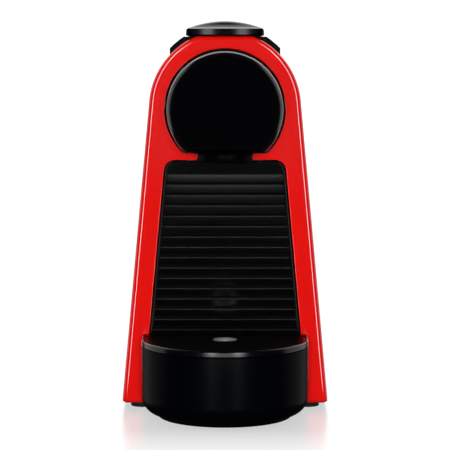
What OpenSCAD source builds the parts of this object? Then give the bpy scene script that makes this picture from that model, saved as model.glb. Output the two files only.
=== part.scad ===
// Pod coffee machine: arched casing, round outlet head, lever, ribbed drawer with drip base,
// water tank at the back, and the brewing works inside.
// Front is -Y, up is +Z, the origin is on the floor under the middle of the outline. Millimetres.

/* [Casing] */
// Width of the casing at the floor
foot_w = 110; // [109:0.5:111]
// Depth from the drip base to the back of the tank
total_d = 325; // [324:1:330]
// Height of the lever's top above the floor
total_h = 205.3; // [205:0.1:206]
// Radius of the arch on top of the casing
arch_r = 40; // [39.8:0.1:40.2]
// Wall of the casing
shell_t = 2.5; // [2:0.1:2.6]

/* [Front] */
// Radius of the round outlet head
head_r = 30; // [29:0.5:30.5]
// How far the head stands out of the casing
head_out = 28; // [24:1:28]
// Height of one rib of the front panel
rib_pitch = 5.5; // [5.5:0.1:5.8]
// How far a rib stands out
rib_depth = 1.5; // [0.8:0.1:1.8]

/* [Drip base] */
// Radius of the round drip base
cup_r = 43.4; // [43:0.1:43.8]
// Height of the cup support's top
cup_h = 40.2; // [40:0.1:41]
// Radius of the foot ring under the drip base
ring_r = 34.7; // [33:0.1:35]

/* [Lever] */
// Width of the lever
lever_w = 41; // [39:0.5:41]
// Length of the finger scoop at the lever's front
scoop_l = 9; // [6:0.5:11]

/* [Buttons] */
// Length of a button
button_l = 17; // [14:0.5:17]
// Width of a button
button_w = 6.4; // [5.5:0.1:6.6]

/* [Hidden] */
$fn = 96;
eps = 0.01;
gap = 0.3;

// Heights of the casing
casing_z = 3;
arch_z = 160;
bezel_top_z = 197.3;
foot_hw = foot_w / 2;
slope = atan(foot_hw / arch_z) - asin(arch_r / norm([foot_hw, arch_z]));

// Stations along the depth
cup_y = -total_d / 2 + cup_r;
front_y = cup_y + 17;
bezel_d = 6;
body_y = 99.8;
tank_y0 = 100.6;
tank_y1 = total_d / 2;

// Round head and the openings of the front bezel
head_z = 159.5;
head_y = front_y - head_out;
head_back_y = front_y + 19.9;
head_cut_z = 137.4;
head_wall = 2.2;
opening_r = 31.9;
opening_z = 159;
opening_cut_z = 136;
panel_top_z = 132.5;
panel_corner_r = 6;
band = 11;
spout_hw = 14.5;
spout_z = 132.5;

// Top deck
deck_hw = 29.1;
deck_flat_hw = 21.8;
deck_z = 197.1;
deck_side_z = 191.1;
deck_low_z = 183.5;
deck_t = 2.4;
deck_y0 = front_y + bezel_d + 0.2;

// Lever linkage. The hinge carries the lever, the crank pin drives the link, the link the piston.
hinge = [16, 159];
crank = hinge + [-10.4, 14.7];
piston_pin = hinge + [-20.7, -7];
brew_z = piston_pin[1];
brew_barb = [15.5, brew_z - 5];
lever_z0 = 197.7;
lever_side_z = 201.2;
lever_y0 = front_y - 2;
lever_t = 2.2;
lever_nose_r = 65;
lever_nose_d = 4;
scoop_axis = [lever_y0 - 2, 216.5];
lever_bars = 5;
lever_bar_t = 1.8;
lever_bar_pitch = 18;
lever_hw = lever_w / 2;
lever_dome_r = (pow(lever_hw, 2) + pow(total_h - lever_side_z, 2)) / (2 * (total_h - lever_side_z));
drum_r = 50.1;
drum_low = 34.2;
shutter_r = 35.2;
cheek_x0 = 7.5;
cheek_x1 = 12.5;
pivot_r = 3;
crank_r = 2.5;
run = 0.06;

// Brewing chamber
plate_y = front_y + 30;
cage_y0 = plate_y + 2.2;
cage_len = 34;
cage_r = 18;
carrier_y0 = cage_y0 + cage_len;
carrier_y1 = carrier_y0 + 9;
frame_x = 22;
frame_t = 2.5;
frame_z0 = 128;
frame_z1 = 181;
frame_y0 = front_y + 20;
frame_y1 = 36;
frame_screws_x = [-19, 19];
frame_screws_z = [134, 176];
slot_hw = 19.2;
slot_y0 = plate_y + 0.6;
slot_y1 = slot_y0 + 32;
lever_slot_y0 = hinge[0] + 4.6;
drum_gap = 0.8;

// Buttons on the slanted shoulders of the deck
shoulder_tilt = atan2(deck_z - deck_side_z, deck_hw - deck_flat_hw);
shoulder_mid = [(deck_hw + deck_flat_hw) / 2, (deck_z + deck_side_z) / 2];
button_y = deck_y0 + 12;
button_proud = 0.25;
flange_z = -2.9;
flange_grow = 0.6;
spring_top = -3.7;
spring_len = 2.8;
spring_r = 2;

// Coffee pipe
pipe_z = 147;
pipe_r = 3.2;
pipe_bore_r = 1.8;

// Heater block and the heights of its two pipes
heater_lo = [-24, 64, 66];
heater_hi = [24, 90, 124];
heater_in_z = 76;
heater_out_z = 116;
heater_pipe_y = 58;
clamp_hw = 26;
clamp_t = 1.8;
clamp_z0 = 60;

// Pump: its axis in x and z, and the coil round it
pump_at = [-14, 38];
coil_hw = 17;
coil_y0 = 30;
coil_y1 = 64;
bracket_t = 1.8;

// Flow meter, in plan
meter_at = [26, 76];
meter_z = 5.65;

// Control board, on its bosses on the right shell
board_x = 31.5;
board_t = 1.6;
board_screws = [[-2, 54], [-2, 114], [54, 54], [54, 114]];

// Drawer
bin_hw = 31.5;
bin_z0 = 6.2;
bin_z1 = 118;
bin_y1 = -14;
panel_y0 = front_y + 0.5;
panel_y1 = front_y + 3.9;
panel_gap = 0.6;
rib_border = 1.5;
rib_top_z = 125.2;
rib_count = 16;
support_z = 36.9;
support_back_y = cup_y + 8.5;
base_back_y = front_y - gap;

// Tank and its lid
tank_z0 = 20.3;
tank_z1 = 185.6;
tank_t = 2.2;
lid_axis = [tank_y1 - 3.1, 188.8];
lid_barrel_r = 2.6;
lid_pin_r = 1.1;
valve_y = 128;
platform_z = 20;
gland_at = [30, 11.6];
gland_r = 5;

// ---- Profiles and helpers ----

// Half width of the casing at a height below the arch, drawn in by inset
function half_width(z, inset = 0) = foot_hw - inset / cos(slope) - z * tan(slope);

// Points of a polygon whose corners are rounded to the radii in rs
function rounded(pts, rs, steps = 8) = [
    for (i = [0:len(pts) - 1])
        let (
            p = pts[i],
            a = pts[(i + len(pts) - 1) % len(pts)] - p,
            b = pts[(i + 1) % len(pts)] - p,
            ua = a / norm(a),
            ub = b / norm(b),
            half = acos(ua * ub) / 2,
            mid = (ua + ub) / norm(ua + ub),
            centre = p + mid * rs[i] / sin(half),
            from = atan2(-(mid * sin(half) - ua)[1], -(mid * sin(half) - ua)[0]),
            start = p + ua * rs[i] / tan(half) - centre,
            end = p + ub * rs[i] / tan(half) - centre,
            a0 = atan2(start[1], start[0]),
            turn = atan2(start[0] * end[1] - start[1] * end[0], start * end)
        )
        each rs[i] == 0
            ? [p]
            : [
                for (k = [0:steps])
                    centre + rs[i] * [cos(a0 + turn * k / steps), sin(a0 + turn * k / steps)]
            ]
];

// The casing's arch from height z0 to z1
module arch2d(inset = 0, z0 = casing_z, z1 = 200) {
    r = arch_r - inset;
    intersection() {
        union() {
            translate([0, arch_z]) circle(r);
            polygon([
                [-half_width(z0, inset), z0],
                [half_width(z0, inset), z0],
                [r * cos(slope), arch_z + r * sin(slope)],
                [-r * cos(slope), arch_z + r * sin(slope)]
            ]);
        }
        translate([-foot_hw - 5, z0]) square([foot_w + 10, z1 - z0]);
    }
}

// The head's circle with its flat underside
module head2d(inset = 0) {
    intersection() {
        translate([0, head_z]) circle(head_r - inset);
        translate([-head_r, head_cut_z + inset]) square([2 * head_r, 2 * head_r]);
    }
}

// The panel's outline, a casing-shaped trapezium with rounded top corners
module panel2d(inset = 0, z0 = casing_z) {
    top_z = panel_top_z - inset;
    polygon(rounded(
        [
            [-half_width(z0, band + inset), z0],
            [half_width(z0, band + inset), z0],
            [half_width(top_z, band + inset), top_z],
            [-half_width(top_z, band + inset), top_z]
        ],
        [0, 0, panel_corner_r, panel_corner_r]
    ));
}

// The deck's cap section
module deck2d(inset = 0, z0 = deck_low_z) {
    flat = deck_flat_hw - inset * 0.36;
    polygon([
        [-deck_hw + inset, z0], [-deck_hw + inset, deck_side_z - inset * 0.36],
        [-flat, deck_z - inset], [flat, deck_z - inset],
        [deck_hw - inset, deck_side_z - inset * 0.36], [deck_hw - inset, z0]
    ]);
}

// The lever's domed section
module lever2d(inset = 0, drop = 0) {
    intersection() {
        translate([0, total_h - lever_dome_r]) circle(lever_dome_r - inset, $fn = 240);
        translate([-lever_hw + inset, lever_z0 - drop]) square([lever_w - 2 * inset, 20]);
    }
}

// A profile in x and z, drawn out along y
module along_y(y0, y1) {
    translate([0, y1, 0]) rotate([90, 0, 0]) linear_extrude(y1 - y0) children();
}

// A profile in y and z, drawn out along x
module along_x(x0, x1) {
    translate([x0, 0, 0]) rotate([90, 0, 90]) linear_extrude(x1 - x0) children();
}

// Cylinders along x and along y
module rod_x(x0, x1, at, r) {
    translate([x0, at[0], at[1]]) rotate([0, 90, 0]) cylinder(h = x1 - x0, r = r, $fn = 48);
}
module rod_y(y0, y1, at, r) {
    translate([at[0], y1, at[1]]) rotate([90, 0, 0]) cylinder(h = y1 - y0, r = r, $fn = 64);
}

// A box given by two opposite corners
module block(a, b) {
    translate(a) cube(b - a);
}

module both_sides() {
    children();
    mirror([1, 0, 0]) children();
}

// A round tube swept along points, closed at both ends
function unit(v) = v / norm(v);
function tangent(p, i) = unit(p[min(i + 1, len(p) - 1)] - p[max(i - 1, 0)]);
function side_of(t) = unit(cross(t, abs(t[0]) < 0.8 ? [1, 0, 0] : [0, 1, 0]));
function ring(c, t, s, r, n) = [
    for (k = [0:n - 1]) c + r * (cos(360 * k / n) * s + sin(360 * k / n) * cross(t, s))
];
function carried(p, i) = i == 0
    ? side_of(tangent(p, 0))
    : let (s = carried(p, i - 1), t = tangent(p, i)) unit(s - t * (s * t));
module tube(points, r, n = 8) {
    last = len(points) - 1;
    polyhedron(
        points = [for (i = [0:last]) each ring(points[i], tangent(points, i), carried(points, i), r, n)],
        faces = [
            [for (k = [0:n - 1]) k],
            [for (k = [0:n - 1]) last * n + n - 1 - k],
            for (i = [0:last - 1], k = [0:n - 1])
                [i * n + k, (i + 1) * n + k, (i + 1) * n + (k + 1) % n, i * n + (k + 1) % n]
        ],
        convexity = 6
    );
}

// Points of a smooth curve through the given stops
function spline_at(a, b, c, d, t) = 0.5 * (
    2 * b + (c - a) * t + (2 * a - 5 * b + 4 * c - d) * t * t + (3 * b - a - 3 * c + d) * t * t * t
);
function smooth(p, steps = 5) = [
    for (i = [0:len(p) - 2], k = [0:steps - 1])
        spline_at(p[max(i - 1, 0)], p[i], p[i + 1], p[min(i + 2, len(p) - 1)], k / steps),
    p[len(p) - 1]
];

// ---- Casing ----

module front_bezel() {
    color("red") difference() {
        union() {
            along_y(front_y, front_y + 2.5) arch2d(0, casing_z, bezel_top_z);
            along_y(front_y + 2.5 - eps, front_y + bezel_d) difference() {
                arch2d(0, casing_z, bezel_top_z);
                arch2d(shell_t, casing_z - 1, bezel_top_z - shell_t);
            }
        }
        along_y(front_y - 1, front_y + 4) {
            intersection() {
                translate([0, opening_z]) circle(opening_r);
                translate([-40, opening_cut_z]) square([80, 80]);
            }
            translate([-spout_hw - 0.5, panel_top_z - 1]) square([2 * spout_hw + 1, 6]);
            panel2d(0, casing_z - 1);
        }
    }
}

module side_shell() {
    along_y(front_y + bezel_d + 0.1, body_y) intersection() {
        difference() {
            arch2d(0, casing_z);
            arch2d(shell_t, casing_z - 1);
        }
        translate([deck_hw + gap, 0]) square([foot_hw, 200]);
    }
}
module left_shell() { color("red") mirror([1, 0, 0]) side_shell(); }

module right_shell() {
    color("red") {
        side_shell();
        for (at = board_screws) rod_x(board_x + board_t + 0.1, half_width(at[1], shell_t) + 1, at, 2.8);
    }
}

module top_deck() {
    color("#151515") difference() {
        union() {
            along_y(deck_y0, body_y) difference() {
                deck2d();
                deck2d(deck_t, deck_low_z - 1);
            }
            along_y(deck_y0, deck_y0 + 2) deck2d(0.2);
        }
        along_y(deck_y0 - 1, deck_y0 + 3) translate([0, head_z]) circle(head_r + 0.5);
        intersection() {
            block([-lever_hw - 0.6, lever_slot_y0, deck_low_z - 1], [lever_hw + 0.6, body_y, deck_z + 1]);
            rod_x(-lever_w, lever_w, hinge, drum_r + drum_gap);
        }
        block([-slot_hw, slot_y0, deck_low_z - 1], [slot_hw, slot_y1, deck_z + 1]);
        both_sides() on_shoulder() button_block(gap, -8, 2);
    }
}

module rear_cover() {
    y0 = body_y - 3;
    y1 = body_y - 0.4;
    color("#1b1b1b") difference() {
        union() {
            along_y(y0, y1) arch2d(shell_t + 0.2, platform_z + 1.4, deck_low_z - 0.2);
            along_y(y0, y1) deck2d(deck_t + 0.2, deck_low_z - 2);
        }
        for (i = [0:5]) block([-14, y0 - 1, 100 + 7 * i], [14, y1 + 1, 102.4 + 7 * i]);
    }
}

module foot_spots() {
    for (y = [front_y + 12, tank_y1 - 18]) both_sides() translate([44, y, 0]) children();
}

module screw_spots() {
    for (y = [front_y + 30, 84]) both_sides() translate([41, y, 0]) children();
}

module base_plate() {
    floor_hw = half_width(casing_z, shell_t) - gap;
    color("#1b1b1b") difference() {
        union() {
            block([-floor_hw, front_y + 8, 3.2], [floor_hw, body_y + 1, 5.6]);
            along_y(body_y + 0.1, tank_y1 - 2) arch2d(0.4, 3.2, platform_z);
            both_sides() block([bin_hw + 0.7, front_y + 10, 5], [bin_hw + 2.5, bin_y1, 22]);
            screw_spots() translate([0, 0, 5]) cylinder(h = 8, r = 4, $fn = 32);
            block([-20, body_y - 28, 5], [-17.5, body_y - 6, 16]);
        }
        along_y(body_y - 1, tank_y1 - 4.4) arch2d(2.8, 5.6, platform_z - 2.4);
        translate([0, valve_y, 6]) cylinder(h = 20, r = 13.2);
        rod_y(tank_y1 - 8, tank_y1 + 2, gland_at, gland_r);
        screw_spots() translate([0, 0, 1]) {
            cylinder(h = 14, r = 1.6, $fn = 24);
            cylinder(h = 3.2, r = 3.1, $fn = 32);
        }
        for (i = [0:6]) block([-26, 26 + 7 * i, 3], [-6, 28.4 + 7 * i, 6]);
    }
}

module rubber_feet() {
    color("#101010") foot_spots() difference() {
        cylinder(h = 3.2, r = 6.5);
        translate([0, 0, -eps]) cylinder(h = 0.8, r = 3.5, $fn = 48);
    }
}

module base_screws() {
    color("silver") screw_spots() difference() {
        union() {
            translate([0, 0, 2.6]) cylinder(h = 1.5, r = 2.9, $fn = 32);
            translate([0, 0, 4]) cylinder(h = 7.5, r = 1.5, $fn = 24);
        }
        translate([0, 0, 2.5]) cylinder(h = 0.9, r = 1.4, $fn = 6);
    }
}

// ---- Outlet head ----

module outlet_head() {
    color("#0c0c0c") difference() {
        union() {
            along_y(head_y + 3, head_back_y) difference() {
                head2d();
                head2d(head_wall);
            }
            along_y(head_back_y - 2.2, head_back_y) head2d(0.1);
        }
        rod_y(head_back_y - 4, head_back_y + 1, [0, pipe_z], 4);
        translate([0, cup_y, 130]) cylinder(h = 12, r = 4, $fn = 48);
    }
}

module head_cap() {
    color("black") {
        along_y(head_y, head_y + 2.9) head2d();
        along_y(head_y + 2.9 - eps, head_y + 6.5) difference() {
            head2d(head_wall + 0.15);
            head2d(head_wall + 1.8);
        }
    }
}

module coffee_spout() {
    nose_y = cup_y + 2;
    color("#0c0c0c") difference() {
        union() {
            translate([0, nose_y, spout_z]) cylinder(h = head_cut_z - spout_z - 0.1, r = spout_hw);
            block([-spout_hw, nose_y, spout_z], [spout_hw, front_y + 3, head_cut_z - 0.1]);
        }
        translate([0, cup_y, spout_z + 1.6]) cylinder(h = 6, r = 4.6, $fn = 64);
        both_sides() translate([2.4, cup_y, spout_z - 1]) cylinder(h = 4, r = 1.5, $fn = 24);
    }
}

module coffee_pipe() {
    color("#8a8a86") difference() {
        union() {
            rod_y(cup_y, frame_y0 - 0.1, [0, pipe_z], pipe_r);
            translate([0, cup_y, head_cut_z - 1.5]) cylinder(h = 9.6, r = pipe_r, $fn = 64);
            translate([0, cup_y, pipe_z]) sphere(r = pipe_r, $fn = 64);
        }
        rod_y(cup_y, frame_y0 + 1, [0, pipe_z], pipe_bore_r);
        translate([0, cup_y, head_cut_z - 3]) cylinder(h = 12.6, r = pipe_bore_r, $fn = 48);
    }
}

// ---- Brewing works ----

module capsule_chute() {
    top_z = deck_z - deck_t - 0.2;
    color("#2a2a2a") difference() {
        block([-slot_hw - 1.6, slot_y0 - 1.6, 172], [slot_hw + 1.6, slot_y1 + 1.6, top_z]);
        block([-slot_hw, slot_y0, 170], [slot_hw, slot_y1, top_z + 1]);
    }
}

module brew_frame() {
    color("#3a3a3c") difference() {
        union() {
            both_sides() {
                block([frame_x, frame_y0, frame_z0], [frame_x + frame_t, frame_y1, 171.5]);
                block([frame_x - 2.1, plate_y + 2, brew_z - 1.4], [frame_x + eps, 18, brew_z + 1.4]);
                rod_x(frame_x, frame_x + 4, hinge, 7);
                for (y = [frame_y0 + 8, frame_y1 - 6]) rod_x(frame_x + frame_t - eps, 38.9, [y, 140], 3);
            }
            block([-frame_x - frame_t, frame_y0, frame_z0], [frame_x + frame_t, frame_y0 + 5, frame_z1]);
            block([-frame_x - eps, slot_y1 + 6, frame_z0], [frame_x + eps, frame_y1, frame_z0 + 2.4]);
            block([-frame_x - eps, frame_y1 - 5, frame_z0], [frame_x + eps, frame_y1, 140]);
        }
        rod_x(-40, 40, hinge, pivot_r + run);
        block([11, frame_y1 - 9, frame_z0 - 1], [20, frame_y1 + 1, 142]);
        rod_y(frame_y0 - 1, frame_y0 + 6, [0, pipe_z], 3.4);
        for (x = frame_screws_x, z = frame_screws_z) rod_y(frame_y0 - 1, frame_y0 + 8, [x, z], 1.6);
    }
}

module frame_screws() {
    color("silver") for (x = frame_screws_x, z = frame_screws_z) {
        rod_y(frame_y0 + 5.1, frame_y0 + 6.6, [x, z], 2.8);
        rod_y(frame_y0 + 0.4, frame_y0 + 5.2, [x, z], 1.5);
    }
}

module extraction_plate() {
    color("silver") difference() {
        rod_y(frame_y0 + 5.2, plate_y + 1.4, [0, brew_z], 16);
        for (i = [-4:4]) {
            along_y(plate_y + 0.7, plate_y + 2) translate([3 * i - 0.5, brew_z - 20]) square([1, 40]);
            along_y(plate_y + 0.7, plate_y + 2) translate([-20, brew_z + 3 * i - 0.5]) square([40, 1]);
        }
    }
}

module lever_pivots() {
    color("silver") both_sides() {
        rod_x(cheek_x0 - 0.2, frame_x + frame_t + 1.6, hinge, pivot_r);
        rod_x(frame_x + frame_t + 1.6, frame_x + frame_t + 3, hinge, 4.6);
    }
}

module thermoblock() {
    color("#b9bbbd") {
        difference() {
            block(heater_lo, heater_hi);
            for (i = [0:6])
                let (z = heater_lo[2] + 4 + 7.4 * i) block(
                    [heater_lo[0] - 1, heater_lo[1] - 1, z],
                    [heater_hi[0] + 1, heater_lo[1] + 2, z + 3.4]
                );
        }
        rod_y(heater_pipe_y, heater_lo[1] + eps, [pump_at[0], heater_in_z], 3);
        rod_y(heater_pipe_y, heater_lo[1] + eps, [brew_barb[0], heater_out_z], 3);
        both_sides() translate([8, 77, heater_hi[2] - 1]) cylinder(h = 6, r = 2, $fn = 32);
    }
}

module thermoblock_clamp() {
    color("#8a8a86") {
        difference() {
            block([-clamp_hw, 70, clamp_z0], [clamp_hw, 84, heater_lo[2] - 0.1]);
            block([4 - clamp_hw, 69, clamp_z0 - 1], [clamp_hw - 4, 85, clamp_z0 + 3.5]);
        }
        both_sides() {
            block([clamp_hw - clamp_t, 70, clamp_z0], [clamp_hw, 84, 112]);
            block([clamp_hw - clamp_t, 83, 100], [clamp_hw, body_y - 3.1, 112]);
        }
    }
}

module pump_body() {
    color("#d8d4c8") {
        rod_y(4, 24, pump_at, 11);
        rod_y(24 - eps, 74, pump_at, 8);
        rod_y(-2, 4 + eps, pump_at, 3.4);
        rod_y(74 - eps, 80, pump_at, 3);
    }
}

module pump_coil() {
    color("#20242c") difference() {
        block(
            [pump_at[0] - coil_hw, coil_y0, pump_at[1] - coil_hw],
            [pump_at[0] + coil_hw, coil_y1, pump_at[1] + coil_hw]
        );
        rod_y(coil_y0 - 1, coil_y1 + 1, pump_at, 8.2);
    }
}

module pump_bracket() {
    inner_hw = coil_hw + 0.2;
    outer_hw = inner_hw + bracket_t;
    color("silver") difference() {
        block(
            [pump_at[0] - outer_hw, coil_y0 - bracket_t - 0.4, 15],
            [pump_at[0] + outer_hw, coil_y1 + bracket_t + 0.4, pump_at[1] + outer_hw]
        );
        block(
            [pump_at[0] - inner_hw, coil_y0 - 10, pump_at[1] - inner_hw],
            [pump_at[0] + inner_hw, coil_y1 + 16, pump_at[1] + inner_hw]
        );
        block(
            [pump_at[0] - outer_hw - 7, coil_y0 - 0.4, 17],
            [pump_at[0] + outer_hw + 5, coil_y1 + 0.4, pump_at[1] + outer_hw + 3]
        );
        rod_y(coil_y0 - 10, coil_y1 + 16, pump_at, 8.4);
    }
}

module pump_mounts() {
    color("#101010") for (x = [-27, -1], y = [31, 63])
        translate([x, y, 5.7]) cylinder(h = 9.2, r = 4, $fn = 32);
}

module flow_meter() {
    color("#e2e2de") {
        translate([meter_at[0], meter_at[1], meter_z]) {
            cylinder(h = 15, r = 12);
            cylinder(h = 18 - eps, r = 8, $fn = 64);
        }
        rod_y(meter_at[1] + 11, meter_at[1] + 16, [meter_at[0], 13], 2.6);
        rod_x(meter_at[0] - 17, meter_at[0] - 11, [meter_at[1], 17], 2.6);
    }
}

module control_board() {
    color("#1d6b3a") difference() {
        block([board_x, -6, 50], [board_x + board_t, 58, 118]);
        for (at = board_screws) rod_x(board_x - 1, board_x + 3, at, 1.6);
    }
}

module board_components() {
    color("#2b2b30") {
        block([19, 2, 56], [board_x - 0.1, 20, 76]);
        block([22, 26, 58], [board_x - 0.1, 50, 72]);
        for (i = [0:2]) rod_x(18, board_x - 0.1, [8 + 13 * i, 88], 5);
        block([25, 4, 100], [board_x - 0.1, 46, 108]);
        for (i = [0:3]) block([21.5, 4 + 12 * i, 111], [board_x - 0.1, 12 + 12 * i, 116.5]);
    }
}

// ---- Buttons ----

// Puts its children on the middle of the right shoulder, w outwards
module on_shoulder() {
    translate([shoulder_mid[0], button_y, shoulder_mid[1]]) rotate([0, shoulder_tilt, 0]) children();
}

module button_block(grow, w0, w1) {
    hw = button_w / 2 + grow;
    hl = button_l / 2 + grow;
    translate([0, 0, w0]) linear_extrude(w1 - w0)
        polygon(rounded([[-hw, -hl], [hw, -hl], [hw, hl], [-hw, hl]], [2, 2, 2, 2], 6));
}

module button() {
    button_block(0, flange_z, button_proud);
    button_block(flange_grow, spring_top, flange_z + eps);
}
module lungo_button() { color("#202020") on_shoulder() button(); }
module espresso_button() { color("#202020") mirror([1, 0, 0]) on_shoulder() button(); }

module button_spring() {
    turns = 3;
    steps = 14;
    pitch_len = spring_len - 0.9;
    on_shoulder() tube([
        for (i = [0:turns * steps])
            let (a = 360 * i / steps)
                [spring_r * cos(a), spring_r * sin(a), spring_top - 0.42 - pitch_len * i / (turns * steps)]
    ], 0.3, 6);
}
module lungo_spring() { color("silver") button_spring(); }
module espresso_spring() { color("silver") mirror([1, 0, 0]) button_spring(); }

module micro_switches() {
    floor_w = spring_top - spring_len;
    color("#2b2b30") both_sides() on_shoulder() difference() {
        translate([-3.2, -7, floor_w - 1.8]) cube([6.4, 14, 1.7]);
        translate([2, 5, floor_w - 3]) cylinder(h = 5, r = 0.8, $fn = 24);
    }
}

// ---- Lever, link and piston ----

module lever_section() {
    difference() {
        lever2d();
        lever2d(lever_t, 5);
    }
}

// Side plate of the lever, from the hinge to the crank and up behind the deck
module cheek2d() {
    translate(hinge) circle(8, $fn = 64);
    translate(crank) circle(5.6, $fn = 48);
    translate(hinge) polygon([
        [-7.6, 3], crank - hinge + [-5.6, 0], [-14, 31.5], [-3, 34.3], [7.2, 33.8],
        [7.2, lever_z0 + 1.6 - hinge[1]], [16, lever_z0 + 1.6 - hinge[1]], [18, 33], [7.8, 2]
    ]);
}

// Rear of the lever, rounded about the hinge so that it turns down into the deck
module drum2d(r, low) {
    translate(hinge) intersection() {
        circle(r, $fn = 240);
        translate([7, low]) square([drum_r, drum_r]);
    }
}

// Curved shutter under the deck that closes the lever's slot when the lever is up
module shutter2d() {
    translate(hinge) intersection() {
        difference() {
            circle(shutter_r, $fn = 240);
            circle(shutter_r - 1.6, $fn = 240);
        }
        polygon([[0, 0], [-60, 41], [-60, 80], [21, 80]]);
    }
}

// What the lever's front loses to its curve in plan
module lever_nose_cut() {
    difference() {
        block([-lever_w, lever_y0 - 1, lever_z0 - 1], [lever_w, lever_y0 + lever_nose_d, total_h + 1]);
        translate([0, lever_y0 + lever_nose_r, lever_z0 - 2]) cylinder(h = 20, r = lever_nose_r, $fn = 360);
    }
}

module lever() {
    web_z = hinge[1] + shutter_r - 1.2;
    rear_y = hinge[0] + drum_r + 1;
    color("#0e0e0e") difference() {
        union() {
            along_y(lever_y0 + lever_nose_d, hinge[0] + 9) lever_section();
            along_y(lever_y0 - 0.5, lever_y0 + scoop_l + 4) lever2d();
            difference() {
                intersection() {
                    along_x(-lever_hw, lever_hw) drum2d(drum_r, drum_low);
                    along_y(hinge[0], rear_y) lever2d(0, 10);
                }
                intersection() {
                    along_x(-lever_hw, lever_hw) drum2d(drum_r - lever_t, drum_low - 2);
                    along_y(hinge[0], rear_y) lever2d(lever_t, 12);
                }
            }
            both_sides() along_x(cheek_x0, cheek_x1) cheek2d();
            along_x(-lever_hw, lever_hw) shutter2d();
            block([-lever_hw, hinge[0] + 7, web_z], [lever_hw, hinge[0] + 9, lever_z0 + 2]);
            for (i = [0:lever_bars - 1])
                let (y = lever_y0 + 16.1 + lever_bar_pitch * i)
                    block([1 - lever_hw, y, lever_z0 + 0.8], [lever_hw - 1, y + lever_bar_t, lever_z0 + 3.4]);
        }
        lever_nose_cut();
        rod_x(-30, 30, scoop_axis, scoop_l + 6.4);
        rod_x(-30, 30, hinge, pivot_r + run);
        rod_x(-30, 30, crank, crank_r + 0.01);
    }
}

module crank_pin() { color("silver") rod_x(-13, 13, crank, crank_r); }

module toggle_link() {
    dir = (crank - piston_pin) / norm(crank - piston_pin);
    side = [-dir[1], dir[0]] * 3.4;
    color("#8a8a86") difference() {
        union() {
            rod_x(-6.3, 6.3, crank, 4.9);
            rod_x(-6.3, 6.3, piston_pin, 4.4);
            along_x(-6.3, 6.3) polygon([crank + side, crank - side, piston_pin - side, piston_pin + side]);
        }
        rod_x(-3.7, 3.7, piston_pin, 9.6);
        rod_x(-20, 20, crank, crank_r + run);
        rod_x(-20, 20, piston_pin, 2.01);
    }
}

module link_pin() { color("silver") rod_x(-6.3, 6.3, piston_pin, 2); }

module brew_piston() {
    color("#4a4a4e") difference() {
        union() {
            block([-frame_x + 0.4, carrier_y0, brew_z - 9], [frame_x - 0.4, carrier_y1, brew_z + 9]);
            block([-3.2, carrier_y1 - eps, brew_z - 4], [3.2, piston_pin[0], brew_z + 4]);
            rod_x(-3.2, 3.2, piston_pin, 6);
            rod_y(carrier_y1 - eps, carrier_y1 + 5, brew_barb, 2.6);
        }
        both_sides()
            block([frame_x - 2.5, carrier_y0 - 1, brew_z - 1.8], [frame_x + 1, carrier_y1 + 1, brew_z + 1.8]);
        rod_x(-10, 10, piston_pin, 3.6);
    }
}

module capsule_cage() {
    color("silver") difference() {
        rod_y(cage_y0, carrier_y0 - 0.1, [0, brew_z], cage_r);
        rod_y(cage_y0 - 1, carrier_y0 - 5, [0, brew_z], cage_r - 2.4);
    }
}

module cage_needles() {
    color("silver") for (a = [90, 210, 330])
        rod_y(carrier_y0 - 10, carrier_y0 - 5 - 0.05, [9 * cos(a), brew_z + 9 * sin(a)], 0.9);
}

module piston_seal() {
    color("#101010") along_y(cage_y0 - 0.7, cage_y0 - 0.05) translate([0, brew_z]) difference() {
        circle(cage_r - 0.2);
        circle(cage_r - 2.2);
    }
}

// ---- Drawer ----

// Ribbed face: every rib has a short slanted ledge on top and a long face that falls back
module rib_face2d() {
    low_z = rib_top_z - rib_pitch * (rib_count - 1);
    polygon(concat(
        [[panel_y1, low_z - rib_pitch], [panel_y1, rib_top_z + 1.4]],
        [
            for (i = [0:rib_count - 1])
                let (z = rib_top_z - rib_pitch * i)
                each [
                    [panel_y0 + rib_depth, z + 0.6],
                    [panel_y0 + 0.25, z - 0.35],
                    [panel_y0, z - 0.8],
                    [panel_y0 + rib_depth * 0.8, z - rib_pitch + 0.9]
                ]
        ],
        [[panel_y0 + rib_depth, low_z - rib_pitch]]
    ));
}

module front_panel() {
    hw = half_width(rib_top_z, band + panel_gap + rib_border);
    color("#0d0d0d") {
        along_y(panel_y0 + rib_depth + 0.5, panel_y1) panel2d(panel_gap, 9);
        along_y(panel_y0, panel_y1) difference() {
            panel2d(panel_gap, 9);
            intersection() {
                panel2d(panel_gap + rib_border, support_z);
                translate([-60, 0]) square([120, rib_top_z + 1.2]);
            }
        }
        intersection() {
            along_x(-50, 50) rib_face2d();
            along_y(panel_y0 - 1, panel_y1) panel2d(panel_gap + rib_border - eps, support_z);
        }
    }
}

module capsule_bin() {
    wall = 1.8;
    y0 = panel_y1 + 0.1;
    color("#1d1d1f") {
        difference() {
            block([-bin_hw, y0, bin_z0], [bin_hw, bin_y1, bin_z1]);
            block([-bin_hw + wall, y0 + wall, bin_z0 + wall], [bin_hw - wall, bin_y1 - wall, bin_z1 + 1]);
        }
        for (x = [-20:10:20]) block(
            [x - 0.8, y0 + wall - eps, bin_z0 + wall - eps],
            [x + 0.8, bin_y1 - wall + eps, bin_z0 + wall + 3]
        );
    }
}

// Outer edge of the drip base from the floor up to z1, as radius and height
function cup_edge(z1, inset = 0) = concat(
    [[ring_r - inset, inset], [ring_r - inset, 1.7 + inset], [ring_r + 0.9 - inset, 1.7 + inset]],
    [for (a = [60:-10:0]) [cup_r - 9 + (9 - inset) * cos(a), 9.8 - (9 - inset) * sin(a) ]],
    [[cup_r - inset, z1]]
);

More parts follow.
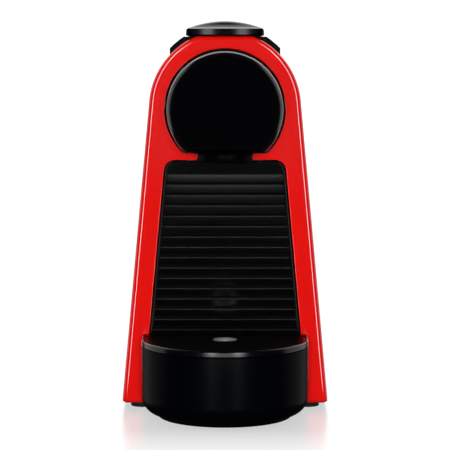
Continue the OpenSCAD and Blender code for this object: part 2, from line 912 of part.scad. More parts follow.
// The U-shaped plan of the drip base: round in front, straight to the casing
module u_shape(profile, back_y) {
    translate([0, cup_y, 0]) rotate([0, 0, 180]) rotate_extrude(angle = 180)
        polygon(concat([[0, profile[0][1]]], profile, [[0, profile[len(profile) - 1][1]]]));
    along_y(cup_y, back_y) polygon(concat(
        profile,
        [for (i = [len(profile) - 1:-1:0]) [-profile[i][0], profile[i][1]]]
    ));
}

module drip_base() {
    wall = 2.4;
    color("#101012") difference() {
        union() {
            u_shape(cup_edge(support_z - 0.5), base_back_y);
            u_shape([[cup_r - 0.8, 30], [cup_r - 0.8, support_z - 0.1]], base_back_y);
            block([-cup_r, support_back_y + 0.25, support_z - 0.2], [cup_r, base_back_y, cup_h]);
            block([-bin_hw, base_back_y - 1, 9.4], [bin_hw, panel_y0 - 0.1, support_z - 1]);
        }
        u_shape([[cup_r - 10, 6], [cup_r - wall, 13], [cup_r - wall, support_z + 1]], support_back_y - 2.2);
    }
}

module cup_support() {
    dish_r = 5.7;
    drain_r = 0.9;
    color("#0d0d0d") difference() {
        intersection() {
            union() {
                translate([0, cup_y, support_z]) cylinder(h = cup_h - support_z, r = cup_r);
                block([-cup_r, cup_y, support_z], [cup_r, support_back_y, cup_h]);
                translate([0, cup_y, support_z - 3]) difference() {
                    cylinder(h = 3.1, r = cup_r - 3);
                    translate([0, 0, -1]) cylinder(h = 6, r = cup_r - 4.6);
                }
            }
            block([-60, -200, 0], [60, support_back_y, 60]);
        }
        block([-60, support_back_y - 3, support_z - 5], [60, support_back_y + 1, support_z]);
        translate([0, cup_y, cup_h - 1.6]) cylinder(h = 4, r = dish_r);
        translate([0, cup_y, support_z - 1]) {
            cylinder(h = 6, r = drain_r, $fn = 24);
            for (a = [0:60:359]) rotate([0, 0, a])
                translate([3.1, 0, 0]) cylinder(h = 6, r = drain_r, $fn = 24);
        }
    }
}

// ---- Water tank ----

module tank_shape(inset, z0, z1) {
    along_y(tank_y0 + inset, tank_y1 - inset) arch2d(0.4 + inset, z0, z1);
}

module lid_ear() {
    along_x(14.4, 21) {
        translate(lid_axis) circle(lid_barrel_r, $fn = 48);
        polygon([
            [tank_y1 - 4.4, tank_z1 - 4], [tank_y1 - 0.2, tank_z1 - 4],
            lid_axis + [lid_barrel_r, 0], lid_axis + [-1.2, 0]
        ]);
    }
}

module water_tank() {
    color([0.25, 0.26, 0.28, 0.45]) difference() {
        union() {
            difference() {
                tank_shape(0, tank_z0, tank_z1);
                tank_shape(tank_t, tank_z0 + tank_t, tank_z1 + 1);
            }
            translate([0, valve_y, 13]) cylinder(h = tank_z0 - 12.5, r = 8.6);
            both_sides() lid_ear();
        }
        translate([0, valve_y, 12]) cylinder(h = 14, r = 6.4, $fn = 64);
        rod_x(-30, 30, lid_axis, lid_pin_r + 0.01);
    }
}

module tank_valve() {
    color("#1b1b1b") {
        translate([0, valve_y, 13.4]) difference() {
            cylinder(h = 11, r = 6.3, $fn = 64);
            translate([0, 0, -1]) cylinder(h = 4, r = 4.6, $fn = 48);
            for (a = [0:60:359]) rotate([0, 0, a])
                translate([4.5, 0, 2]) cylinder(h = 10, r = 0.9, $fn = 24);
        }
    }
}

module tank_filter() {
    color("#d9d9d2") translate([0, valve_y, 24.6]) {
        for (a = [0:30:359]) rotate([0, 0, a]) translate([5.6, -0.9, 1]) cube([1.2, 1.8, 10]);
        cylinder(h = 2, r = 7, $fn = 64);
        translate([0, 0, 10]) cylinder(h = 2, r = 7, $fn = 64);
    }
}

module lid_pin() { color("silver") rod_x(-20.8, 20.8, lid_axis, lid_pin_r); }

module tank_lid() {
    front = tank_y0 + 0.3;
    back = lid_axis[0] - 3.4;
    z0 = tank_z1 + 0.6;
    color("#131313") difference() {
        union() {
            along_y(front, back) deck2d(0, z0);
            along_x(-14, 14) {
                translate(lid_axis) circle(lid_barrel_r, $fn = 48);
                polygon([
                    [back - 1, z0 + 0.6], lid_axis - [0, lid_barrel_r],
                    lid_axis + [0, lid_barrel_r], [back - 1, z0 + 6]
                ]);
            }
        }
        along_y(front + deck_t, back - deck_t) deck2d(deck_t, z0 - 1);
        rod_x(-30, 30, lid_axis, lid_pin_r + run);
        along_y(front - 1, front + 7) translate([0, deck_z + 7.4]) circle(9);
    }
}

module tank_socket() {
    color("#2a2a2a") difference() {
        union() {
            translate([0, valve_y, 5.65]) cylinder(h = 11.6, r = 13);
            rod_y(valve_y - 19, valve_y, [0, 10.4], 2.6);
        }
        translate([0, valve_y, 9]) cylinder(h = 10, r = 9.6);
    }
}

module socket_seal() {
    color("#b5402c") translate([0, valve_y, 14]) difference() {
        cylinder(h = 1.8, r = 9.5);
        translate([0, 0, -1]) cylinder(h = 4, r = 8.75);
    }
}

module cord_gland() {
    y0 = tank_y1 - 9;
    color("#101010") difference() {
        union() {
            rod_y(y0, y0 + 8.4, gland_at, gland_r - 0.05);
            rod_y(y0, y0 + 4.4, gland_at, gland_r + 0.8);
        }
        rod_y(y0 - 1, y0 + 11, gland_at, gland_r - 1.5);
    }
}

// ---- Hoses inside ----

suction_stops = [
    [0, 108.6, 10.4], [0, 105.4, 10.4], [1.8, 102.4, 10.5], [5.5, 100.8, 10.9], [13, 100, 11.7],
    [20, 99, 12.5], [24.4, 97.4, 12.9], [26, 94.8, 13], [26, 92.2, 13]
];
feed_stops = [
    [8.8, 76, 17], [4.6, 76.2, 17.1], [0.4, 77.4, 18.6], [-3.6, 80, 22], [-8.4, 84.6, 27],
    [-12.4, 87.8, 31.4], [-14, 87.6, 35.2], [-14, 84.4, 37.6], [-14, 80.2, 38]
];
pressure_stops = [
    [-14, -2.2, 38], [-14, -5.2, 38.2], [-14.6, -8.2, 39.8], [-16, -9.8, 43.4], [-19.4, -9.8, 49],
    [-25, -6, 55], [-30.6, 2, 60], [-33.6, 12, 63.6], [-34, 24, 66], [-32.2, 35, 69],
    [-27, 44, 72.6], [-21, 49.6, 75], [-16, 52.4, 75.9], [-14, 55, 76], [-14, 57.8, 76]
];
brew_x = brew_barb[0];
brew_stops = [
    [brew_x, carrier_y1 + 5.2, brew_barb[1]], [brew_x, carrier_y1 + 9.2, brew_barb[1] - 0.2],
    [brew_x, -10, 144.6], [brew_x, 4, 141], [brew_x, 18, 136.6], [brew_x, 31, 132], [brew_x, 41, 127],
    [brew_x, 47.6, 121.6], [brew_x, 51.4, 117.8], [brew_x, 54.4, 116.2], [brew_x, 57.8, 116]
];

module suction_hose() { color("white") tube(smooth(suction_stops), 2.4); }
module feed_hose() { color("white") tube(smooth(feed_stops), 2.4); }
module pressure_hose() { color("white") tube(smooth(pressure_stops), 2.2); }
module brew_hose() { color("#c8c0a8") tube(smooth(brew_stops), 2.2); }

front_bezel();
left_shell();
right_shell();
top_deck();
rear_cover();
base_plate();
rubber_feet();
base_screws();
outlet_head();
head_cap();
coffee_spout();
coffee_pipe();
capsule_chute();
brew_frame();
frame_screws();
extraction_plate();
lever_pivots();
thermoblock();
thermoblock_clamp();
pump_body();
pump_coil();
pump_bracket();
pump_mounts();
flow_meter();
control_board();
board_components();
micro_switches();
tank_socket();
socket_seal();
cord_gland();
suction_hose();
feed_hose();
pressure_hose();
brew_hose();
espresso_spring();
lungo_spring();
espresso_button();
lungo_button();
lever();
crank_pin();
toggle_link();
link_pin();
brew_piston();
capsule_cage();
cage_needles();
piston_seal();
front_panel();
capsule_bin();
drip_base();
cup_support();
water_tank();
tank_valve();
tank_filter();
lid_pin();
tank_lid();
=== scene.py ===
import math

import bmesh
import bpy
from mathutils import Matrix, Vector

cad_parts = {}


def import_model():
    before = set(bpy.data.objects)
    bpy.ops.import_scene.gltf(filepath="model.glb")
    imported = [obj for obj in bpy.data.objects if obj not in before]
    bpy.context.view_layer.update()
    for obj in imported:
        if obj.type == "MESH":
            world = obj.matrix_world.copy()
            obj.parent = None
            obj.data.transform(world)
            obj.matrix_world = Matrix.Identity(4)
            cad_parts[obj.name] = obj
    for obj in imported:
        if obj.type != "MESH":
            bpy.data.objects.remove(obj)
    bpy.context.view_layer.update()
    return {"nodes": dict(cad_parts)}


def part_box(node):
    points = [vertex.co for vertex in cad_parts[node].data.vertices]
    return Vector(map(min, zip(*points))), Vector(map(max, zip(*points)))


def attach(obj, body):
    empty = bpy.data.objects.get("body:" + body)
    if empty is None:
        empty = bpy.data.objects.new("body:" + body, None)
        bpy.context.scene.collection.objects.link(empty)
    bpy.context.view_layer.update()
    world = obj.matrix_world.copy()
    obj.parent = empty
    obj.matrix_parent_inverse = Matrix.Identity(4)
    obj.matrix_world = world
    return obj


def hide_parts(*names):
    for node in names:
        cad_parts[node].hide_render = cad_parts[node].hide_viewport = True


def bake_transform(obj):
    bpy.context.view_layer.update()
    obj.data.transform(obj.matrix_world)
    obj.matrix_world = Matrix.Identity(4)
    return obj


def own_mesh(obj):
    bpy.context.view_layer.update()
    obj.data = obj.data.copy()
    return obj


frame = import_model()
NODES = frame["nodes"]
MM = 0.001

# ---- Sizes and places, in metres, from the CAD frame ----

ARCH_R = 40 * MM
ARCH_Z = 160 * MM
FOOT_HALF = 55 * MM
SLOPE = math.atan(FOOT_HALF / ARCH_Z) - math.asin(ARCH_R / math.hypot(FOOT_HALF, ARCH_Z))
BAND = 11 * MM
BEZEL_LOW, BEZEL_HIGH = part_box("front_bezel")
FRONT_Y = BEZEL_LOW.y
BEZEL_PLATE = 2.5 * MM
BEZEL_WALL = 2.4 * MM
BEZEL_EDGE = 2.4 * MM
OPENING_EDGE = 0.3 * MM
HEAD_EDGE = 5.6 * MM
HEAD_CREASE = 60
HEAD_CORNER = 3.2 * MM
HEAD_CAP_DEPTH = 6 * MM
HEAD_GROOVE = 0.5 * MM
HEAD_LOW, HEAD_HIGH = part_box("head_cap")
HEAD_R = (HEAD_HIGH.x - HEAD_LOW.x) / 2
HEAD_Z = HEAD_HIGH.z - HEAD_R
HEAD_FRONT = HEAD_LOW.y
HEAD_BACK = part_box("outlet_head")[1].y
OPENING_R = 31.9 * MM
OPENING_Z = 159 * MM
OPENING_CUT_Z = 136 * MM
PANEL_LOW, PANEL_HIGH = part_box("front_panel")
OPENING_TOP = 132.5 * MM
PANEL_GAP = 0.6 * MM
PANEL_BORDER = 1.5 * MM
PANEL_BROW = 5.4 * MM
PANEL_FLOOR = 2.2 * MM
RIB_PITCH = 5.5 * MM
RIB_NOSE = 0.55 * MM
RIB_TOP = 125.3 * MM
RIB_COUNT = 16
SUPPORT_LOW, SUPPORT_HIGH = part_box("cup_support")
BASE_LOW, BASE_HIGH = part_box("drip_base")
CUP_R = (BASE_HIGH.x - BASE_LOW.x) / 2
CUP_Y = BASE_LOW.y + CUP_R
RING_R = 34.7 * MM
CUP_WALL = 2.4 * MM
CUP_EDGE = 9 * MM
CUP_EDGE_Z = 10.6 * MM
CUP_LIP = 0.5 * MM
CUP_LIP_Z = SUPPORT_LOW.z + 2.9 * MM
BASE_JOIN_Y = FRONT_Y - 0.3 * MM
TIE_HALF = 31.5 * MM
TIE_LOW = 9.4 * MM
TIE_HIGH = 35.8 * MM
PLATE_LOW = SUPPORT_LOW.z + 3.1 * MM
DISH_DEPTH = 1.9 * MM
DRAIN_HOLES_R = 3.1 * MM
SKIRT_R = 40.4 * MM
LEVER_LOW, LEVER_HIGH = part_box("lever")
LEVER_HALF = LEVER_HIGH.x
LEVER_Z0 = 197.7 * MM
LEVER_SIDE_Z = 201.2 * MM
LEVER_RISE = LEVER_HIGH.z - LEVER_SIDE_Z
LEVER_DOME_R = (LEVER_HALF ** 2 + LEVER_RISE ** 2) / (2 * LEVER_RISE)
LEVER_NOSE_R = 65 * MM
LEVER_WALL = 2.2 * MM
LEVER_SOLID = 13 * MM
SCOOP_R = 15.4 * MM
SCOOP_BACK = 2 * MM
SCOOP_Z = 216.5 * MM
HINGE = (16 * MM, 159 * MM)
CRANK = (5.6 * MM, 173.7 * MM)
DRUM_R = 50.1 * MM
DRUM_END_Z = 193.2 * MM
DRUM_START_Y = 23 * MM
SHUTTER_R = 35.2 * MM
SHUTTER_T = 1.6 * MM
CHEEK_IN = 7.5 * MM
CHEEK_OUT = 12.5 * MM
LEVER_BARS = 5
LEVER_BAR_PITCH = 18 * MM
FLOOR_GLOW = 0.57
FLOOR_FADE = 0.7
WHITE = 1.06
WORLD_DIM = 0.02
WORLD_SEEN = 1.05
LIT_POINT = Vector((0, FRONT_Y, 0.11))
LAMP_DISTANCE = 1.6
FLOOR_NEAR = 65 * MM
FLOOR_FAR = 300 * MM
FLOOR_HALF = 6.0
WALL_HALF = 0.7
WALL_Y = 2.2
WALL_HIGH = 1.5
CAMERA_AWAY = 1.0
CAMERA_Z = 0.1885
CAMERA_DOWN = 5.16
CAMERA_LENS = 152.4


# ---- Mesh helpers ----

def arc(centre, r, start, end, steps):
    """Points on a circle from one angle to another, in degrees."""
    return [
        (
            centre[0] + r * math.cos(math.radians(start + (end - start) * k / steps)),
            centre[1] + r * math.sin(math.radians(start + (end - start) * k / steps)),
        )
        for k in range(steps + 1)
    ]


def rounded(points, radii, steps=6):
    """A closed outline whose corners are rounded."""
    out = []
    count = len(points)
    for i, p in enumerate(points):
        p = Vector(p)
        if radii[i] <= 0:
            out.append(tuple(p))
            continue
        to_last = (Vector(points[i - 1]) - p).normalized()
        to_next = (Vector(points[(i + 1) % count]) - p).normalized()
        half = to_last.angle(to_next) / 2
        middle = (to_last + to_next).normalized()
        centre = p + middle * (radii[i] / math.sin(half))
        reach = radii[i] / math.tan(half)
        first = p + to_last * reach - centre
        last = p + to_next * reach - centre
        turn = math.atan2(first.x * last.y - first.y * last.x, first.dot(last))
        start = math.atan2(first.y, first.x)
        for k in range(steps + 1):
            a = start + turn * k / steps
            out.append((centre.x + radii[i] * math.cos(a), centre.y + radii[i] * math.sin(a)))
    return out


def fillet(radius, steps=6):
    """(inset, depth) of a quarter round, from the side wall to the face."""
    quarter = [math.pi / 2 * k / steps for k in range(steps + 1)]
    return [(radius * (1 - math.cos(a)), radius * (1 - math.sin(a))) for a in quarter]


def creased_fillet(radius, last, steps=14):
    """(inset, depth) of a round from the side wall that meets the face in a crease after last degrees."""
    angles = [math.radians(last) * k / steps for k in range(steps + 1)]
    deep = math.sin(angles[-1])
    return [(radius * (1 - math.cos(a)), radius * (deep - math.sin(a))) for a in angles]


def xz(outline, y):
    """An outline seen from the front, placed at y."""
    return [Vector((p[0], y, p[1])) for p in outline]


def xy(outline, z):
    """An outline seen from above, placed at z."""
    return [Vector((p[0], p[1], z)) for p in outline]


def yz(outline, x):
    """An outline seen from the side, placed at x."""
    return [Vector((x, p[0], p[1])) for p in outline]


def loft(bm, rings, closed=True, first=False, last=False):
    """Faces between rings of the same count, and caps on the first and last ring if asked."""
    loops = [[bm.verts.new(p) for p in ring] for ring in rings]
    count = len(loops[0])
    for low, high in zip(loops, loops[1:]):
        for i in range(count if closed else count - 1):
            j = (i + 1) % count
            bm.faces.new((low[i], low[j], high[j], high[i]))
    if first:
        bm.faces.new(list(reversed(loops[0])))
    if last:
        bm.faces.new(loops[-1])
    return loops


def fill(bm, *loops):
    """A flat face between an outer loop and the holes in it."""
    edges = []
    for loop in loops:
        for i, v in enumerate(loop):
            other = loop[(i + 1) % len(loop)]
            edges.append(bm.edges.get((v, other)) or bm.edges.new((v, other)))
    bmesh.ops.triangle_fill(bm, use_beauty=True, use_dissolve=False, edges=edges)


def piece(name, bm, body, paint, replaces=(), sharp=40, even=True):
    """Turns a bmesh into a visible piece, which rides on a body if one is given."""
    bmesh.ops.remove_doubles(bm, verts=bm.verts, dist=1e-6)
    bmesh.ops.recalc_face_normals(bm, faces=bm.faces)
    mesh = bpy.data.meshes.new(name)
    bm.to_mesh(mesh)
    bm.free()
    mesh.polygons.foreach_set("use_smooth", [True] * len(mesh.polygons))
    mesh.set_sharp_from_angle(angle=math.radians(sharp))
    obj = bpy.data.objects.new(name, mesh)
    bpy.context.scene.collection.objects.link(obj)
    mesh.materials.append(paint)
    if even:
        normals = obj.modifiers.new("even_normals", "WEIGHTED_NORMAL")
        normals.keep_sharp = True
    if body:
        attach(obj, body)
    if replaces:
        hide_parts(*replaces)
    return obj


def finish_node(name, paint, width=0.35 * MM, segments=2, angle=40):
    """Gives a CAD node its material and a small rounding on its edges."""
    obj = NODES[name]
    obj.data.materials.clear()
    obj.data.materials.append(paint)
    if width:
        weld = obj.modifiers.new("weld", "WELD")
        weld.merge_threshold = 0.005 * MM
        bevel = obj.modifiers.new("edges", "BEVEL")
        bevel.width = width
        bevel.segments = segments
        bevel.limit_method = "ANGLE"
        bevel.angle_limit = math.radians(angle)
        bevel.use_clamp_overlap = True
        bevel.harden_normals = True
    return obj


# ---- Outlines ----

def half_width(z, inset=0.0):
    """Half the casing's width at a height."""
    return FOOT_HALF - inset / math.cos(SLOPE) - z * math.tan(SLOPE)


def arch_outline(inset, low, high, corner=2.2 * MM, steps=40):
    """The casing's arch seen from the front, with rounded feet and a flat top."""
    r = ARCH_R - inset
    top = math.degrees(math.asin((high - inset - ARCH_Z) / r))
    right = arc((0, ARCH_Z), r, math.degrees(SLOPE), top, steps)
    left = [(-x, z) for x, z in reversed(right)]
    z0 = low + inset
    foot = rounded(
        [(-half_width(z0, inset), z0), (half_width(z0, inset), z0), right[0], left[-1]],
        [max(corner - inset, 0.05 * MM)] * 2 + [0, 0],
    )[:-2]
    return foot + right + left


def cut_circle(centre_z, r, cut_z, corner, inset, steps=64):
    """A circle with a flat underside whose two corners are rounded."""
    r = r - inset
    cut = cut_z + inset
    corner = max(corner - inset, 0.05 * MM)
    reach = r - corner
    up = cut + corner - centre_z
    side = math.sqrt(reach * reach - up * up)
    turn = math.degrees(math.atan2(up, side))
    right_foot = arc((side, cut + corner), corner, -90, turn, 6)
    body = arc((0, centre_z), r, turn, 180 - turn, steps)
    left_foot = [(-x, z) for x, z in reversed(right_foot)]
    return right_foot[:-1] + body + left_foot[1:]


def panel_outline(inset, top, low, corner=6 * MM):
    """The panel seen from the front, with its two upper corners rounded."""
    top = top - inset
    left_low = -half_width(low, BAND + inset)
    left_top = -half_width(top, BAND + inset)
    corner = max(corner - inset, 0.3 * MM)
    corners = [(left_low, low), (-left_low, low), (-left_top, top), (left_top, top)]
    return rounded(corners, [0, 0, corner, corner], steps=10)


def u_outline(r, back_y, steps=48):
    """Plan of the drip base: a half circle in front and straight sides to the back."""
    front = arc((0, CUP_Y), r, 180, 360, steps)
    return [(-r, back_y)] + front + [(r, back_y)]


# ---- Materials ----

def nodes_of(mat):
    """A material's tree, its nodes, its links and its shader."""
    mat.use_nodes = True
    tree = mat.node_tree
    return tree, tree.nodes, tree.links, tree.nodes["Principled BSDF"]


def noise(tree, scale, detail=4.0, rough=0.55, stretch=None):
    """Noise in the object's own coordinates, stretched along an axis if asked."""
    coords = tree.nodes.new("ShaderNodeTexCoord")
    mapping = tree.nodes.new("ShaderNodeMapping")
    mapping.inputs["Scale"].default_value = stretch or (1, 1, 1)
    texture = tree.nodes.new("ShaderNodeTexNoise")
    texture.inputs["Scale"].default_value = scale
    texture.inputs["Detail"].default_value = detail
    texture.inputs["Roughness"].default_value = rough
    tree.links.new(coords.outputs["Object"], mapping.inputs["Vector"])
    tree.links.new(mapping.outputs["Vector"], texture.inputs["Vector"])
    return texture.outputs["Fac"]


def ranged(tree, value, low, high, from_low=0.0, from_high=1.0):
    """A value moved from one range to another."""
    ranger = tree.nodes.new("ShaderNodeMapRange")
    ranger.inputs["From Min"].default_value = from_low
    ranger.inputs["From Max"].default_value = from_high
    ranger.inputs["To Min"].default_value = low
    ranger.inputs["To Max"].default_value = high
    tree.links.new(value, ranger.inputs["Value"])
    return ranger.outputs["Result"]


def ramp(tree, value, stops):
    """A value turned into a colour."""
    colours = tree.nodes.new("ShaderNodeValToRGB")
    element = colours.color_ramp.elements
    while len(element) < len(stops):
        element.new(0.5)
    for at, (place, colour) in zip(element, stops):
        at.position = place
        at.color = (*colour, 1)
    tree.links.new(value, colours.inputs["Fac"])
    return colours.outputs["Color"]


def bump(tree, height, strength, distance):
    """A normal from a height."""
    node = tree.nodes.new("ShaderNodeBump")
    node.inputs["Strength"].default_value = strength
    node.inputs["Distance"].default_value = distance
    tree.links.new(height, node.inputs["Height"])
    return node.outputs["Normal"]


def shade(colour, factor):
    """A darker or lighter version of a colour."""
    return tuple(min(1.0, c * factor) for c in colour)


def plastic(name, colour, rough=(0.2, 0.3), vary=0.12, grain=0.0, grain_scale=1800,
            coat=0.0, coat_ior=1.5, coat_rough=0.03, metallic=0.0, stretch=None, specular=0.5):
    """Moulded or metal surface: mottled colour, uneven gloss and a fine grain."""
    mat = bpy.data.materials.new(name)
    tree, nodes, links, shader = nodes_of(mat)
    broad = noise(tree, 22, 3, stretch=stretch)
    fine = noise(tree, 260, 5, 0.65, stretch)
    stops = [(0.3, shade(colour, 1 - vary)), (0.7, shade(colour, 1 + vary))]
    links.new(ramp(tree, broad, stops), shader.inputs["Base Color"])
    links.new(ranged(tree, fine, rough[0], rough[1]), shader.inputs["Roughness"])
    if grain:
        height = noise(tree, grain_scale, 2, 0.5, stretch)
        links.new(bump(tree, height, grain, 0.05 * MM), shader.inputs["Normal"])
    shader.inputs["Metallic"].default_value = metallic
    shader.inputs["Specular IOR Level"].default_value = specular
    shader.inputs["Coat Weight"].default_value = coat
    shader.inputs["Coat Roughness"].default_value = coat_rough
    shader.inputs["Coat IOR"].default_value = coat_ior
    return mat


def clear_plastic(name, colour, rough, alpha):
    """Thin clear smoke-tinted wall: its tint is streaked a little by the mould's flow."""
    mat = bpy.data.materials.new(name)
    tree, nodes, links, shader = nodes_of(mat)
    flow = noise(tree, 14, 3, 0.5, (1, 1, 0.25))
    stops = [(0.3, shade(colour, 0.85)), (0.7, shade(colour, 1.15))]
    links.new(ramp(tree, flow, stops), shader.inputs["Base Color"])
    links.new(ranged(tree, noise(tree, 180, 4), rough, rough * 2.5), shader.inputs["Roughness"])
    shader.inputs["Alpha"].default_value = alpha
    shader.inputs["IOR"].default_value = 1.45
    return mat


RED = plastic("casing_red", (0.76, 0.0055, 0.004), (0.1, 0.14), 0.03, 0.01, 900, coat=1.0, coat_ior=1.9,
              specular=0.03)
SHELL_RED = plastic("shell_red", (0.78, 0.0045, 0.0035), (0.3, 0.38), 0.03, 0.02, 900, coat=0.2,
                    coat_rough=0.12, specular=0.15)
HEAD_BLACK = plastic("head_black", (0.0003, 0.0004, 0.0008), (0.06, 0.09), 0.1, 0.004, 900, specular=0.35)
DECK_BLACK = plastic("deck_black", (0.0012, 0.0012, 0.0014), (0.14, 0.2), 0.15, 0.06, 2600, specular=0.25)
HEAD_RING = plastic("head_ring_black", (0.0003, 0.0004, 0.0008), (0.16, 0.2), 0.1, 0.02, 900,
                    specular=0.9)
SPOUT_BLACK = plastic("spout_black", (0.0006, 0.0007, 0.0008), (0.3, 0.4), 0.1, 0.05, 1800, specular=0.02)
PANEL_BLACK = plastic("panel_black", (0.0008, 0.0009, 0.001), (0.12, 0.16), 0.1, 0.03, 1800, specular=0.3)
RIB_BLACK = plastic("rib_black", (0.0008, 0.0009, 0.001), (0.19, 0.23), 0.1, 0.01, 1800, specular=0.85)
BASE_BLACK = plastic("base_black", (0.0006, 0.0008, 0.0014), (0.28, 0.34), 0.1, 0.05, 2200,
                     specular=0.025)
SUPPORT_BLACK = plastic("support_black", (0.0006, 0.0007, 0.0012), (0.18, 0.22), 0.12, 0.04, 2400,
                        specular=0.45)
SUPPORT_TOP = plastic("support_top_black", (0.0012, 0.0013, 0.0018), (0.34, 0.4), 0.12, 0.04, 2400,
                      specular=0.03)
LEVER_BLACK = plastic("lever_black", (0.0005, 0.0007, 0.0012), (0.14, 0.18), 0.1, 0.02, 2000,
                      specular=0.19)
BUTTON_BLACK = plastic("button_black", (0.012, 0.012, 0.013), (0.22, 0.3), 0.1, 0.08, 2000)
INNER_BLACK = plastic("inner_black", (0.014, 0.014, 0.015), (0.45, 0.6), 0.2, 0.5, 1600)
INNER_GREY = plastic("inner_grey", (0.06, 0.06, 0.064), (0.4, 0.55), 0.15, 0.45, 1600)
BIN_BLACK = plastic("bin_black", (0.014, 0.014, 0.015), (0.42, 0.58), 0.2, 0.5, 1500)
RUBBER = plastic("foot_rubber", (0.004, 0.004, 0.004), (0.65, 0.85), 0.25, 0.7, 1200)
SILICONE_RED = plastic("seal_red", (0.36, 0.05, 0.03), (0.45, 0.6), 0.15, 0.4, 1400)
SCREW = plastic("screw_steel", (0.55, 0.55, 0.57), (0.22, 0.4), 0.1, 0.3, 1500, metallic=1.0)
PIN = plastic("pin_steel", (0.7, 0.7, 0.71), (0.08, 0.2), 0.06, 0.2, 900, metallic=1.0,
              stretch=(0.05, 1, 1))
PLATE = plastic("plate_steel", (0.66, 0.66, 0.67), (0.15, 0.32), 0.08, 0.3, 1200, metallic=1.0,
                stretch=(1, 1, 0.1))
PIPE = plastic("pipe_steel", (0.55, 0.55, 0.56), (0.18, 0.3), 0.08, 0.3, 1200, metallic=1.0,
               stretch=(1, 0.05, 1))
SPRING = plastic("spring_steel", (0.6, 0.6, 0.61), (0.15, 0.3), 0.1, 0.2, 2000, metallic=1.0)
CLAMP = plastic("clamp_steel", (0.48, 0.48, 0.49), (0.28, 0.45), 0.1, 0.3, 900, metallic=1.0,
                stretch=(1, 0.08, 1))
CAST = plastic("cast_alloy", (0.6, 0.6, 0.6), (0.42, 0.62), 0.14, 0.8, 700, metallic=1.0)
CAGE = plastic("cage_alloy", (0.58, 0.58, 0.59), (0.2, 0.34), 0.08, 0.4, 1400, metallic=1.0,
               stretch=(1, 0.05, 1))
LINK = plastic("link_alloy", (0.26, 0.26, 0.27), (0.4, 0.6), 0.2, 0.7, 1500, metallic=0.9)
PUMP = plastic("pump_plastic", (0.6, 0.57, 0.48), (0.4, 0.55), 0.1, 0.4, 1500)
COIL = plastic("coil_wrap", (0.03, 0.04, 0.07), (0.35, 0.5), 0.2, 0.5, 1400)
METER = plastic("meter_plastic", (0.72, 0.72, 0.68), (0.25, 0.35), 0.06, 0.2, 1500)
BOARD = plastic("board_green", (0.02, 0.12, 0.04), (0.25, 0.4), 0.2, 0.3, 900)
PARTS = plastic("component_black", (0.025, 0.025, 0.028), (0.4, 0.55), 0.2, 0.4, 1500)
HOSE = plastic("hose_clear", (0.7, 0.7, 0.66), (0.3, 0.42), 0.08, 0.2, 1400)
BRAID = plastic("hose_braid", (0.42, 0.4, 0.33), (0.6, 0.8), 0.35, 0.9, 1500)
DRAIN = plastic("drain_steel", (0.5, 0.51, 0.52), (0.3, 0.42), 0.06, 0.2, 1500, metallic=0.6)
FILTER = plastic("filter_white", (0.68, 0.68, 0.64), (0.4, 0.55), 0.08, 0.3, 1500)
SMOKE = clear_plastic("tank_smoke", (0.05, 0.052, 0.058), rough=0.12, alpha=0.55)

NODE_PAINT = {
    "left_shell": (SHELL_RED, 0.3), "right_shell": (SHELL_RED, 0.3), "top_deck": (DECK_BLACK, 0.5),
    "rear_cover": (INNER_BLACK, 0.3), "base_plate": (INNER_BLACK, 0.4), "rubber_feet": (RUBBER, 0.5),
    "base_screws": (SCREW, 0.25), "coffee_spout": (SPOUT_BLACK, 0.6), "coffee_pipe": (PIPE, 0.2),
    "capsule_chute": (INNER_GREY, 0.4), "brew_frame": (INNER_GREY, 0.4), "frame_screws": (SCREW, 0.3),
    "extraction_plate": (PLATE, 0), "lever_pivots": (PIN, 0.4), "thermoblock": (CAST, 0.6),
    "thermoblock_clamp": (CLAMP, 0.2), "pump_body": (PUMP, 0.5), "pump_coil": (COIL, 1.0),
    "pump_bracket": (CLAMP, 0.2), "pump_mounts": (RUBBER, 0.6), "flow_meter": (METER, 0.5),
    "control_board": (BOARD, 0.1), "board_components": (PARTS, 0.5), "micro_switches": (PARTS, 0.25),
    "tank_socket": (INNER_GREY, 0.4), "socket_seal": (SILICONE_RED, 0.1), "cord_gland": (RUBBER, 0.5),
    "suction_hose": (HOSE, 0), "feed_hose": (HOSE, 0), "pressure_hose": (HOSE, 0),
    "espresso_button": (BUTTON_BLACK, 0.35), "lungo_button": (BUTTON_BLACK, 0.35),
    "crank_pin": (PIN, 0.4), "toggle_link": (LINK, 0.4), "link_pin": (PIN, 0.3),
    "brew_piston": (INNER_GREY, 0.5), "capsule_cage": (CAGE, 0.4), "cage_needles": (PIN, 0.1),
    "piston_seal": (SILICONE_RED, 0.1),
    "capsule_bin": (BIN_BLACK, 0.4), "water_tank": (SMOKE, 0.3), "tank_valve": (INNER_BLACK, 0.3),
    "tank_filter": (FILTER, 0), "lid_pin": (PIN, 0.2), "tank_lid": (DECK_BLACK, 0.6),
}


# ---- Front pieces ----

def solid(name, rings):
    """A closed loft as a plain object, for cutting."""
    bm = bmesh.new()
    loft(bm, rings, first=True, last=True)
    bmesh.ops.recalc_face_normals(bm, faces=bm.faces)
    mesh = bpy.data.meshes.new(name)
    bm.to_mesh(mesh)
    bm.free()
    obj = bpy.data.objects.new(name, mesh)
    bpy.context.scene.collection.objects.link(obj)
    return obj


def carved(name, rings, cutters):
    """A bmesh of a closed loft with other closed lofts cut out of it."""
    base = solid(name + "_base", rings)
    tools = [solid(f"{name}_cut{i}", cut) for i, cut in enumerate(cutters)]
    for tool in tools:
        cut = base.modifiers.new(tool.name, "BOOLEAN")
        cut.operation = "DIFFERENCE"
        cut.solver = "EXACT"
        cut.object = tool
    bm = bmesh.new()
    bm.from_object(base, bpy.context.evaluated_depsgraph_get())
    for obj in [base] + tools:
        mesh = obj.data
        bpy.data.objects.remove(obj)
        bpy.data.meshes.remove(mesh)
    return bm


